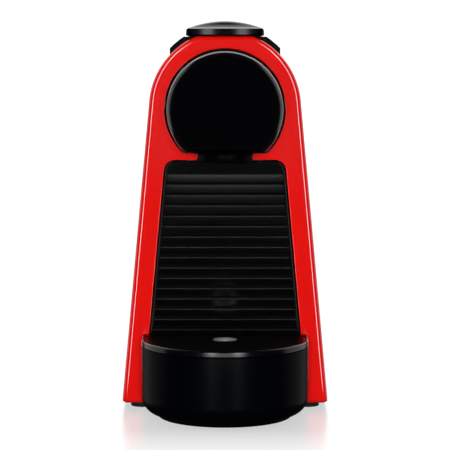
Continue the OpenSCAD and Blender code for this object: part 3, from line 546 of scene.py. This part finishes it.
def flared(outline, front, back, edge):
    """Rings that cut an opening from front to back and round its front edge."""
    rings = [xz(outline(-edge), front - 1 * MM)]
    rings += [xz(outline(-g), front + d) for g, d in reversed(fillet(edge, 5))]
    return rings + [xz(outline(0), back)]


def bezel():
    """Arched front frame with a rounded outer edge and two openings."""
    top = BEZEL_HIGH.z
    low = BEZEL_LOW.z
    below = low - 5 * MM
    plate = FRONT_Y + BEZEL_PLATE
    rings = [xz(arch_outline(0, low, top), BEZEL_HIGH.y)]
    rings += [xz(arch_outline(i, low, top), FRONT_Y + d) for i, d in fillet(BEZEL_EDGE, 10)]
    inside = arch_outline(BEZEL_WALL, below, top, 0.1 * MM)
    hollow = [xz(inside, plate), xz(inside, BEZEL_HIGH.y + 1 * MM)]

    def head_opening(inset):
        return cut_circle(OPENING_Z, OPENING_R, OPENING_CUT_Z, 3 * MM, inset)

    def panel_opening(inset):
        return panel_outline(inset, OPENING_TOP, below)

    through = plate + 1 * MM
    cuts = [flared(shape, FRONT_Y, through, OPENING_EDGE) for shape in (head_opening, panel_opening)]
    bm = carved("casing_front", rings, [hollow] + cuts)
    piece("casing_front", bm, "chassis", RED, ["front_bezel"], sharp=35)


def head_ring(inset, y):
    """The head's cross-section at y."""
    return xz(cut_circle(HEAD_Z, HEAD_R, HEAD_LOW.z, HEAD_CORNER, inset), y)


def head_edge():
    """Rounded rim of the head's cap."""
    back = HEAD_FRONT + HEAD_CAP_DEPTH
    rings = [head_ring(0.6 * MM, back), head_ring(0.25 * MM, back - 0.05 * MM)]
    rings += [head_ring(0, back - 0.3 * MM)]
    edge = creased_fillet(HEAD_EDGE, HEAD_CREASE)
    rings += [head_ring(i, HEAD_FRONT + d) for i, d in edge]
    rings += [head_ring(edge[-1][0] + 0.35 * MM, HEAD_FRONT + 1.2 * MM)]
    bm = bmesh.new()
    loft(bm, rings, first=True, last=True)
    piece("head_edge", bm, "chassis", HEAD_RING, ["head_cap"])


def head_face():
    """Flat front of the head's cap."""
    inset = creased_fillet(HEAD_EDGE, HEAD_CREASE)[-1][0]
    rings = [head_ring(inset + 0.3 * MM, HEAD_FRONT + 1 * MM), head_ring(inset, HEAD_FRONT)]
    bm = bmesh.new()
    loft(bm, rings, first=True, last=True)
    piece("head_face", bm, "chassis", HEAD_BLACK)


def head_barrel():
    """Barrel behind the cap, parted from it by a fine groove."""
    cap_back = HEAD_FRONT + HEAD_CAP_DEPTH
    front = cap_back + HEAD_GROOVE
    step = 2.2 * MM
    rings = [head_ring(step, HEAD_BACK), head_ring(0, HEAD_BACK), head_ring(0, front + 0.3 * MM)]
    rings += [head_ring(0.3 * MM, front), head_ring(step, front), head_ring(step, HEAD_BACK)]
    core = [head_ring(step + 0.1 * MM, y) for y in (front + 0.1 * MM, cap_back - 0.1 * MM)]
    bm = bmesh.new()
    loft(bm, rings)
    loft(bm, core, first=True, last=True)
    piece("head_barrel", bm, "chassis", HEAD_BLACK, ["outlet_head"])


def rib(bm, z, front, back):
    """One rib: a rounded nose above a face that falls back to the next rib."""
    low = z - RIB_PITCH
    profile = [(back, z + 0.5 * MM)]
    profile += arc((front + RIB_NOSE, z - RIB_NOSE), RIB_NOSE, 90, 215, 5)
    profile += [(front + 0.75 * (back - front), low + 1.1 * MM), (back, low + 0.6 * MM)]
    inset = BAND + PANEL_GAP + PANEL_BORDER + 0.05 * MM
    rings = [[Vector((side * half_width(pz, inset), py, pz)) for py, pz in profile] for side in (-1, 1)]
    loft(bm, rings, first=True, last=True)


def panel_frame():
    """The panel's raised border and the plate behind the ribs."""
    front = PANEL_LOW.y
    low = PANEL_LOW.z
    bm = bmesh.new()
    outer = [xz(panel_outline(PANEL_GAP, OPENING_TOP, low), PANEL_HIGH.y)]
    edge = fillet(0.5 * MM, 4)
    outer += [xz(panel_outline(PANEL_GAP + i, OPENING_TOP, low), front + d) for i, d in edge]
    outer_loops = loft(bm, outer, first=True)
    window = panel_outline(PANEL_GAP + PANEL_BORDER, OPENING_TOP - PANEL_BROW, SUPPORT_LOW.z, 1.2 * MM)
    inner_loops = loft(bm, [xz(window, front), xz(window, front + PANEL_FLOOR)], last=True)
    fill(bm, outer_loops[-1], inner_loops[0])
    piece("panel_frame", bm, "drawer", PANEL_BLACK, ["front_panel"])


def panel_ribs():
    """The ribs across the panel."""
    front = PANEL_LOW.y
    bm = bmesh.new()
    for i in range(RIB_COUNT):
        rib(bm, RIB_TOP - RIB_PITCH * i, front + 0.15 * MM, front + 1.9 * MM)
    piece("panel_ribs", bm, "drawer", RIB_BLACK)


def drip_cup():
    """Round drip base: foot ring, step, rounded lower edge, wall, lip and hollow."""
    profile = [(RING_R - 0.5 * MM, 0.0), (RING_R - 0.15 * MM, 0.15 * MM)]
    profile += [(RING_R, 0.5 * MM), (RING_R, 1.5 * MM)]
    profile += [(RING_R + 0.25 * MM, 1.75 * MM), (RING_R + 1.2 * MM, 1.8 * MM)]
    profile += arc((CUP_R - CUP_EDGE, CUP_EDGE_Z), CUP_EDGE, -76, 0, 19)
    profile += [(CUP_R, CUP_LIP_Z - CUP_LIP)]
    profile += arc((CUP_R - CUP_LIP, CUP_LIP_Z - CUP_LIP), CUP_LIP, 30, 90, 2)
    bm = bmesh.new()
    outer = loft(bm, [xy(u_outline(r, BASE_JOIN_Y), z) for r, z in profile], first=True)
    bore = CUP_R - CUP_WALL
    hollow = [(bore - 0.4 * MM, CUP_LIP_Z), (bore, CUP_LIP_Z - 0.4 * MM), (bore, 16 * MM)]
    hollow += [(bore - 3 * MM, 10 * MM), (CUP_R - 12 * MM, 7 * MM)]
    inner_back = CUP_Y + 6.3 * MM
    inner = loft(bm, [xy(u_outline(r, inner_back), z) for r, z in hollow], last=True)
    fill(bm, outer[-1], inner[0])
    piece("drip_base_cup", bm, "drawer", BASE_BLACK, ["drip_base"], sharp=50)


def drip_ledge():
    """The raised ledge behind the cup support."""
    front = SUPPORT_HIGH.y + 0.25 * MM

    def block(inset, z):
        side = CUP_R - inset
        near = front + inset
        far = BASE_JOIN_Y - inset
        plan = [(-side, near), (side, near), (side, far), (-side, far)]
        return xy(rounded(plan, [0.6 * MM] * 4, 3), z)

    rings = [block(0, BASE_HIGH.z - 3.4 * MM)]
    rings += [block(i, BASE_HIGH.z - d) for i, d in fillet(0.5 * MM, 4)]
    bm = bmesh.new()
    loft(bm, rings, first=True, last=True)
    piece("drip_base_ledge", bm, "drawer", BASE_BLACK)


def drip_tie():
    """The block that joins the drip base to the drawer behind the panel."""
    corners = [(-TIE_HALF, TIE_LOW), (TIE_HALF, TIE_LOW), (TIE_HALF, TIE_HIGH), (-TIE_HALF, TIE_HIGH)]
    tie = rounded(corners, [1 * MM] * 4, 3)
    bm = bmesh.new()
    loft(bm, [xz(tie, BASE_JOIN_Y - 1 * MM), xz(tie, BASE_HIGH.y)], first=True, last=True)
    piece("drip_base_tie", bm, "drawer", BASE_BLACK)


def disc(r, z, centre=(0.0, CUP_Y), steps=64):
    """A circle at z."""
    return xy(arc(centre, r, 0, 360, steps)[:-1], z)


def drain_ring():
    """Steel ring with a rounded rim that lines the drain dish."""
    profile = [(6.3, 0.4), (6.2, 0.2), (5.9, 0.15), (5.5, 0.25), (4.1, 0.7), (3.95, 0.8), (3.95, 1.9)]
    profile += profile[:1]
    bm = bmesh.new()
    loft(bm, [disc(r * MM, SUPPORT_HIGH.z - d * MM) for r, d in profile])
    piece("drain_ring", bm, "cup_support", DRAIN)


def plate_ring(inset, z):
    """The cup support's outline at z."""
    return xy(u_outline(CUP_R - inset, SUPPORT_HIGH.y - inset * 0.6), z)


def support_plate():
    """Round plate with a turned-down lip, a shallow rim and a drain dish with holes."""
    top = SUPPORT_HIGH.z
    floor_z = top - DISH_DEPTH
    rings = [plate_ring(2.6 * MM, PLATE_LOW), plate_ring(0.4 * MM, PLATE_LOW)]
    rings += [plate_ring(0.05 * MM, PLATE_LOW + 0.35 * MM)]
    rings += [plate_ring(i, top - d) for i, d in fillet(1.0 * MM, 6)]
    rings += [plate_ring(i * MM, top - d * MM) for i, d in ((1.8, 0), (2.1, 0.12), (2.6, 0.3))]
    bm = bmesh.new()
    rim = loft(bm, rings)
    walls = [(6.4, 0.3), (5.95, 0.42), (5.7, 0.8), (5.4, 1.6), (4.9, 1.9)]
    dish = loft(bm, [disc(r * MM, top - d * MM) for r, d in walls])
    fill(bm, rim[-1], dish[0])
    holes = [(0.0, CUP_Y)] + arc((0.0, CUP_Y), DRAIN_HOLES_R, 0, 360, 6)[:-1]
    ends = ((0.85 * MM, floor_z), (0.75 * MM, PLATE_LOW))
    tubes = [loft(bm, [disc(r, z, at, 20) for r, z in ends]) for at in holes]
    fill(bm, dish[-1], *[tube[0] for tube in tubes])
    fill(bm, rim[0], *[tube[-1] for tube in tubes])
    plate = piece("support_plate", bm, "cup_support", SUPPORT_BLACK, ["cup_support"])
    plate.data.materials.append(SUPPORT_TOP)
    for face in plate.data.polygons:
        if face.normal.z > 0.99:
            face.material_index = 1


def support_skirt():
    """The ring under the plate that holds it in the cup."""
    outer = [(x, min(y, CUP_Y + 4 * MM)) for x, y in u_outline(SKIRT_R, CUP_Y + 4 * MM)]
    inner = u_outline(SKIRT_R - 1.6 * MM, CUP_Y + 2.4 * MM)
    low = SUPPORT_LOW.z
    rings = [xy(inner, PLATE_LOW), xy(inner, low), xy(outer, low), xy(outer, PLATE_LOW)]
    rings += [xy(inner, PLATE_LOW)]
    bm = bmesh.new()
    loft(bm, rings)
    piece("support_skirt", bm, "cup_support", SUPPORT_BLACK)


# ---- Lever ----

def corner_drop(x, half, radius):
    """How far a rounded corner falls away at x from the middle, for an edge at half."""
    over = abs(x) - half + radius
    if over <= 0:
        return 0.0
    return radius - math.sqrt(max(radius * radius - over * over, 0.0))


def lever_top(x, inset):
    """Height of the dome across the lever."""
    r = LEVER_DOME_R - inset
    dome = LEVER_HIGH.z - LEVER_DOME_R + math.sqrt(r * r - x * x)
    return dome - corner_drop(x, LEVER_HALF - inset, 1.4 * MM)


def lever_nose(x):
    """Where the front band stands, curved in plan and rounded at its two corners."""
    curve = LEVER_NOSE_R - math.sqrt(LEVER_NOSE_R ** 2 - x * x)
    return LEVER_LOW.y + curve + corner_drop(x, LEVER_HALF, 2 * MM)


def soft_corner(before, corner, after, steps=5):
    """Points of a short curve that takes the place of a corner."""
    out = []
    for k in range(steps + 1):
        t = k / steps
        out.append(tuple((1 - t) ** 2 * a + 2 * t * (1 - t) * b + t * t * c
                         for a, b, c in zip(before, corner, after)))
    return out


def lever_rear(top, inset):
    """The dome's straight run and its turn down into the deck, as (y, z)."""
    r = DRUM_R - inset
    start = math.degrees(math.asin((top - HINGE[1]) / r))
    end = math.degrees(math.asin((DRUM_END_Z - HINGE[1]) / r))
    turn = arc(HINGE, r, start, end, 8)
    run = [-70 * MM, -45 * MM, -20 * MM, 5 * MM, DRUM_START_Y - 0.1 * MM, DRUM_START_Y + 0.1 * MM]
    return [(y, top) for y in run] + turn


def outer_column(x):
    """One (y, z) section of the lever's outside, from under its nose to the back of the drum."""
    nose = lever_nose(x)
    top = lever_top(x, 0.0)
    axis_y = nose - SCOOP_BACK
    band = min(SCOOP_Z - math.sqrt(SCOOP_R ** 2 - SCOOP_BACK ** 2), top - 0.02 * MM)
    crest = max(axis_y + math.sqrt(max(SCOOP_R ** 2 - (SCOOP_Z - top) ** 2, 0.0)), nose + 0.6 * MM)
    soft = min(1.5 * MM, (crest - nose) * 0.4)
    points = [(nose + 0.5 * MM, LEVER_Z0), (nose + 0.15 * MM, LEVER_Z0 + 0.15 * MM)]
    points += [(nose, LEVER_Z0 + 0.5 * MM), (nose, band - 0.25 * MM)]
    points += [(nose + 0.07 * MM, band - 0.07 * MM)]
    first = nose + 0.25 * MM
    for k in range(7):
        y = first + (crest - soft - first) * k / 6
        points.append((y, min(SCOOP_Z - math.sqrt(SCOOP_R ** 2 - (y - axis_y) ** 2), top)))
    points += soft_corner(points[-1], (crest, top), (crest + 2.5 * soft, top))[1:]
    return points + lever_rear(top, 0.0)


def inner_column(x, rows):
    """The same for the hollow underneath."""
    top = lever_top(x, LEVER_WALL)
    rear = lever_rear(top, LEVER_WALL)
    front = rows - len(rear)
    y = LEVER_LOW.y + LEVER_SOLID
    return [(y, LEVER_Z0 + (top - LEVER_Z0) * k / (front - 1)) for k in range(front)] + rear


def side_column(column):
    """The lower edge of a side wall under a column."""
    return [(y, LEVER_Z0 if y < DRUM_START_Y else DRUM_END_Z) for y, _ in column]


def stations(half, corner):
    """Places across the lever, closer together at its rounded sides."""
    side = [half - corner + corner * math.sin(math.radians(a)) for a in (0, 18, 36, 54, 72, 90)]
    middle = [side[0] * k / 14 for k in range(14)]
    right = middle + side
    return [-x for x in reversed(right[1:])] + right


def lever_grid(half, corner, make_column):
    """Points of one skin, column by column from the left side to the right side."""
    places = stations(half, corner)
    columns = [make_column(x) for x in places]
    grid = [side_column(columns[0])] + columns + [side_column(columns[-1])]
    places = [places[0]] + places + [places[-1]]
    return [[Vector((x, y, z)) for y, z in column] for x, column in zip(places, grid)]


def border(grid):
    """The open edge of a grid of vertices, once round."""
    top = [column[-1] for column in grid]
    low = [column[0] for column in grid]
    return low + grid[-1][1:] + list(reversed(top))[1:] + list(reversed(grid[0]))[1:-1]


def lever_shell():
    """Domed cover with a curved front band, a finger scoop and a drum at the back."""
    bm = bmesh.new()
    outer = loft(bm, lever_grid(LEVER_HALF, 1.4 * MM, outer_column), closed=False)
    rows = len(outer[0])
    inner_half = LEVER_HALF - LEVER_WALL
    inner = loft(bm, lever_grid(inner_half, 1.4 * MM, lambda x: inner_column(x, rows)), closed=False)
    outside = border(outer)
    inside = border(inner)
    for i in range(len(outside)):
        j = (i + 1) % len(outside)
        bm.faces.new((outside[i], outside[j], inside[j], inside[i]))
    piece("lever_shell", bm, "lever", LEVER_BLACK, ["lever"], sharp=38)


def lever_cheeks(bm):
    """Two side plates that turn on the hinge and hold the crank pin."""
    hy, hz = HINGE
    upper = [(18, 33), (16, 40.3), (7.2, 40.3), (7.2, 33.8), (-3, 34.3), (-14, 31.5)]
    cheek = arc(HINGE, 8.1 * MM, 160, 374, 24) + [(hy + y * MM, hz + z * MM) for y, z in upper]
    cheek += arc(CRANK, 5.6 * MM, 180, 251, 8)
    for side in (-1, 1):
        loft(bm, [yz(cheek, side * CHEEK_IN), yz(cheek, side * CHEEK_OUT)], first=True, last=True)


def lever_shutter(bm):
    """The curved plate that closes the capsule slot."""
    outer = arc(HINGE, SHUTTER_R, 75.3, 145.7, 40)
    shutter = outer + arc(HINGE, SHUTTER_R - SHUTTER_T, 145.7, 75.3, 40)
    loft(bm, [yz(shutter, -LEVER_HALF), yz(shutter, LEVER_HALF)], first=True, last=True)


def lever_bars(bm):
    """The web above the hinge and the cross bars under the cover."""
    hy, hz = HINGE
    bars = [(hy + 7 * MM, hy + 9 * MM, hz + SHUTTER_R - 1.2 * MM, LEVER_Z0 + 2 * MM)]
    for k in range(LEVER_BARS):
        y = LEVER_LOW.y + 16.1 * MM + LEVER_BAR_PITCH * k
        bars.append((y, y + 1.8 * MM, LEVER_Z0 + 0.8 * MM, LEVER_Z0 + 3.4 * MM))
    reach = LEVER_HALF - 1 * MM
    for y0, y1, z0, z1 in bars:
        outline = [(y0, z0), (y1, z0), (y1, z1), (y0, z1)]
        loft(bm, [yz(outline, -reach), yz(outline, reach)], first=True, last=True)


def lever_arms():
    """Everything under the lever's cover, with its edges slightly rounded."""
    bm = bmesh.new()
    lever_cheeks(bm)
    lever_shutter(bm)
    lever_bars(bm)
    arms = piece("lever_arms", bm, "lever", LEVER_BLACK, sharp=38, even=False)
    bevel = arms.modifiers.new("edges", "BEVEL")
    bevel.width = 0.35 * MM
    bevel.segments = 2
    bevel.limit_method = "ANGLE"
    bevel.angle_limit = math.radians(40)
    bevel.harden_normals = True


# ---- Hose and springs copied from their CAD nodes ----

def copied(node):
    """A bmesh with a CAD node's shape."""
    bm = bmesh.new()
    bm.from_mesh(NODES[node].data)
    return bm


def brew_hose():
    """Braided hose copied from its CAD node, baked in place and riding on no body."""
    shape = copied("brew_hose")
    hose = piece("brew_hose_sleeve", shape, None, BRAID, ["brew_hose"], sharp=60)
    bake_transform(hose)


def button_springs():
    """Two return springs copied from their CAD nodes, riding on the chassis."""
    for side, name in ((-1, "espresso"), (1, "lungo")):
        shape = copied(f"{name}_spring")
        node = f"{name}_spring"
        coil = piece(f"{name}_coil", shape, "chassis", SPRING, [node], sharp=70)
        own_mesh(coil)


# ---- Set and lights ----

def math_node(tree, operation, *values):
    """The result of a sum on sockets and plain numbers."""
    node = tree.nodes.new("ShaderNodeMath")
    node.operation = operation
    for i, value in enumerate(values):
        if isinstance(value, (int, float)):
            node.inputs[i].default_value = value
        else:
            tree.links.new(value, node.inputs[i])
    return node.outputs[0]


def distance_from_footprint(tree):
    """How far a place on the floor is from the object's rectangle."""
    coords = tree.nodes.new("ShaderNodeTexCoord")
    split = tree.nodes.new("ShaderNodeSeparateXYZ")
    tree.links.new(coords.outputs["Object"], split.inputs[0])
    squares = []
    for axis, half in (("X", FOOT_HALF), ("Y", -BASE_LOW.y - 5 * MM)):
        outside = math_node(tree, "SUBTRACT", math_node(tree, "ABSOLUTE", split.outputs[axis]), half)
        squares.append(math_node(tree, "POWER", math_node(tree, "MAXIMUM", outside, 0.0), 2.0))
    return math_node(tree, "SQRT", math_node(tree, "ADD", *squares))


def glowing(name, strength):
    """An even white light source as a surface."""
    mat = bpy.data.materials.new(name)
    tree, nodes, links, shader = nodes_of(mat)
    shader.inputs["Base Color"].default_value = (0, 0, 0, 1)
    shader.inputs["Specular IOR Level"].default_value = 0
    shader.inputs["Emission Color"].default_value = (1, 1, 1, 1)
    shader.inputs["Emission Strength"].default_value = strength
    return mat


def stage_plane(name, corners, mat):
    """A flat face that isn't part of the object."""
    bm = bmesh.new()
    bm.faces.new([bm.verts.new(c) for c in corners])
    mesh = bpy.data.meshes.new(name)
    bm.to_mesh(mesh)
    bm.free()
    obj = bpy.data.objects.new(name, mesh)
    bpy.context.scene.collection.objects.link(obj)
    mesh.materials.append(mat)
    return obj


def floor_material():
    """Glossy white that turns into even white away from the object."""
    mat = bpy.data.materials.new("floor_white")
    tree, nodes, links, shader = nodes_of(mat)
    shader.inputs["Base Color"].default_value = (0.2, 0.2, 0.2, 1)
    shader.inputs["Roughness"].default_value = 0.25
    shader.inputs["IOR"].default_value = 1.5
    shader.inputs["Emission Color"].default_value = (1, 1, 1, 1)
    shader.inputs["Emission Strength"].default_value = FLOOR_GLOW
    white = nodes.new("ShaderNodeEmission")
    white.inputs["Strength"].default_value = WHITE
    away = distance_from_footprint(tree)
    near = ranged(tree, away, 0.0, FLOOR_FADE, 0.0, FLOOR_NEAR)
    far = ranged(tree, away, 0.0, 1 - FLOOR_FADE, FLOOR_NEAR, FLOOR_FAR)
    mix = nodes.new("ShaderNodeMixShader")
    links.new(math_node(tree, "ADD", near, far), mix.inputs[0])
    links.new(shader.outputs[0], mix.inputs[1])
    links.new(white.outputs[0], mix.inputs[2])
    links.new(mix.outputs[0], nodes["Material Output"].inputs["Surface"])
    return mat


def floor():
    """The floor, which nothing mirrors, and the white wall behind the object."""
    size = FLOOR_HALF
    corners = [(-size, -size, 0), (size, -size, 0), (size, size, 0), (-size, size, 0)]
    ground = stage_plane("floor", corners, floor_material())
    ground.visible_diffuse = False
    ground.visible_glossy = False
    ground.visible_shadow = False
    corners = [(-WALL_HALF, WALL_Y, 0), (WALL_HALF, WALL_Y, 0)]
    corners += [(WALL_HALF, WALL_Y, WALL_HIGH), (-WALL_HALF, WALL_Y, WALL_HIGH)]
    wall = stage_plane("backdrop", corners, glowing("backdrop_white", WHITE * 1.15))
    wall.visible_diffuse = False


def background(tree, strength):
    """A plain white surrounding light."""
    node = tree.nodes.new("ShaderNodeBackground")
    node.inputs["Color"].default_value = (1, 1, 1, 1)
    node.inputs["Strength"].default_value = strength
    return node.outputs[0]


def world():
    """White behind the object for the camera, and nearly dark all round it for its reflections."""
    made = bpy.data.worlds.new("studio")
    bpy.context.scene.world = made
    made.use_nodes = True
    tree = made.node_tree
    path = tree.nodes.new("ShaderNodeLightPath")
    seen = math_node(tree, "MAXIMUM", path.outputs["Is Camera Ray"], path.outputs["Is Transmission Ray"])
    mix = tree.nodes.new("ShaderNodeMixShader")
    tree.links.new(seen, mix.inputs[0])
    tree.links.new(background(tree, WORLD_DIM), mix.inputs[1])
    tree.links.new(background(tree, WORLD_SEEN), mix.inputs[2])
    tree.links.new(mix.outputs[0], tree.nodes["World Output"].inputs["Surface"])


def softbox(name, at, target, width, height, radiance, mirrored=True, lights=True):
    """A rectangular light. Mirrored: glossy surfaces show it. Lights: matte surfaces are lit by it."""
    light = bpy.data.lights.new(name, "AREA")
    light.shape = "RECTANGLE"
    light.size = width
    light.size_y = height
    light.energy = radiance * math.pi * width * height
    obj = bpy.data.objects.new(name, light)
    obj.location = at
    obj.rotation_euler = (Vector(target) - Vector(at)).to_track_quat("-Z", "Y").to_euler()
    obj.visible_camera = False
    obj.visible_glossy = mirrored
    obj.visible_diffuse = lights
    bpy.context.scene.collection.objects.link(obj)


def lamp(name, azimuth, elevation, wide, tall, radiance, mirrored=True, lights=True):
    """A softbox placed and sized in degrees as seen from the object: azimuth 0 is the front."""
    a = math.radians(azimuth)
    e = math.radians(elevation)
    towards = Vector((math.sin(a) * math.cos(e), -math.cos(a) * math.cos(e), math.sin(e)))
    width = 2 * LAMP_DISTANCE * math.tan(math.radians(wide / 2))
    height = 2 * LAMP_DISTANCE * math.tan(math.radians(tall / 2))
    at = LIT_POINT + towards * LAMP_DISTANCE
    softbox(name, at, LIT_POINT, width, height, radiance, mirrored, lights)


def lights():
    """Mirrored strips in front, wide lights at the sides and behind, and fills that nothing mirrors."""
    for side, name in ((-1, "left"), (1, "right")):
        lamp(f"{name}_strip", side * 17, 6, 10, 36, 9.0, lights=False)
        lamp(f"{name}_side", side * 118, 15, 60, 70, 0.6)
        lamp(f"{name}_back", side * 150, 25, 30, 34, 0.8)
        lamp(f"{name}_fill", side * 130, 20, 60, 60, 0.75, mirrored=False)
    lamp("behind", 180, 45, 44, 34, 1.6)
    lamp("top_fill", 180, 85, 50, 50, 1.2, mirrored=False)
    card_at = (0, BASE_LOW.y - 50 * MM, 31 * MM)
    softbox("low_card", card_at, (0, BASE_LOW.y, 38 * MM), 76 * MM, 8 * MM, 3.0)
    lamp("front_fill", 0, 4.5, 16, 16, 42.0, mirrored=False)


def camera():
    """Level with the lever, one metre in front of the casing, looking a little down."""
    data = bpy.data.cameras.new("camera")
    data.lens = CAMERA_LENS
    data.sensor_width = 36
    data.clip_end = 50
    obj = bpy.data.objects.new("camera", data)
    obj.location = (0, FRONT_Y - CAMERA_AWAY, CAMERA_Z)
    obj.rotation_euler = (math.radians(90 - CAMERA_DOWN), 0, 0)
    bpy.context.scene.collection.objects.link(obj)
    bpy.context.scene.camera = obj


# ---- The whole object ----

for node, (paint, width) in NODE_PAINT.items():
    finish_node(node, paint, width * MM)
bezel()
head_edge()
head_face()
head_barrel()
panel_frame()
panel_ribs()
drip_cup()
drip_ledge()
drip_tie()
drain_ring()
support_plate()
support_skirt()
lever_shell()
lever_arms()
brew_hose()
button_springs()
floor()
world()
lights()
camera()
bpy.context.scene.view_settings.view_transform = "Standard"
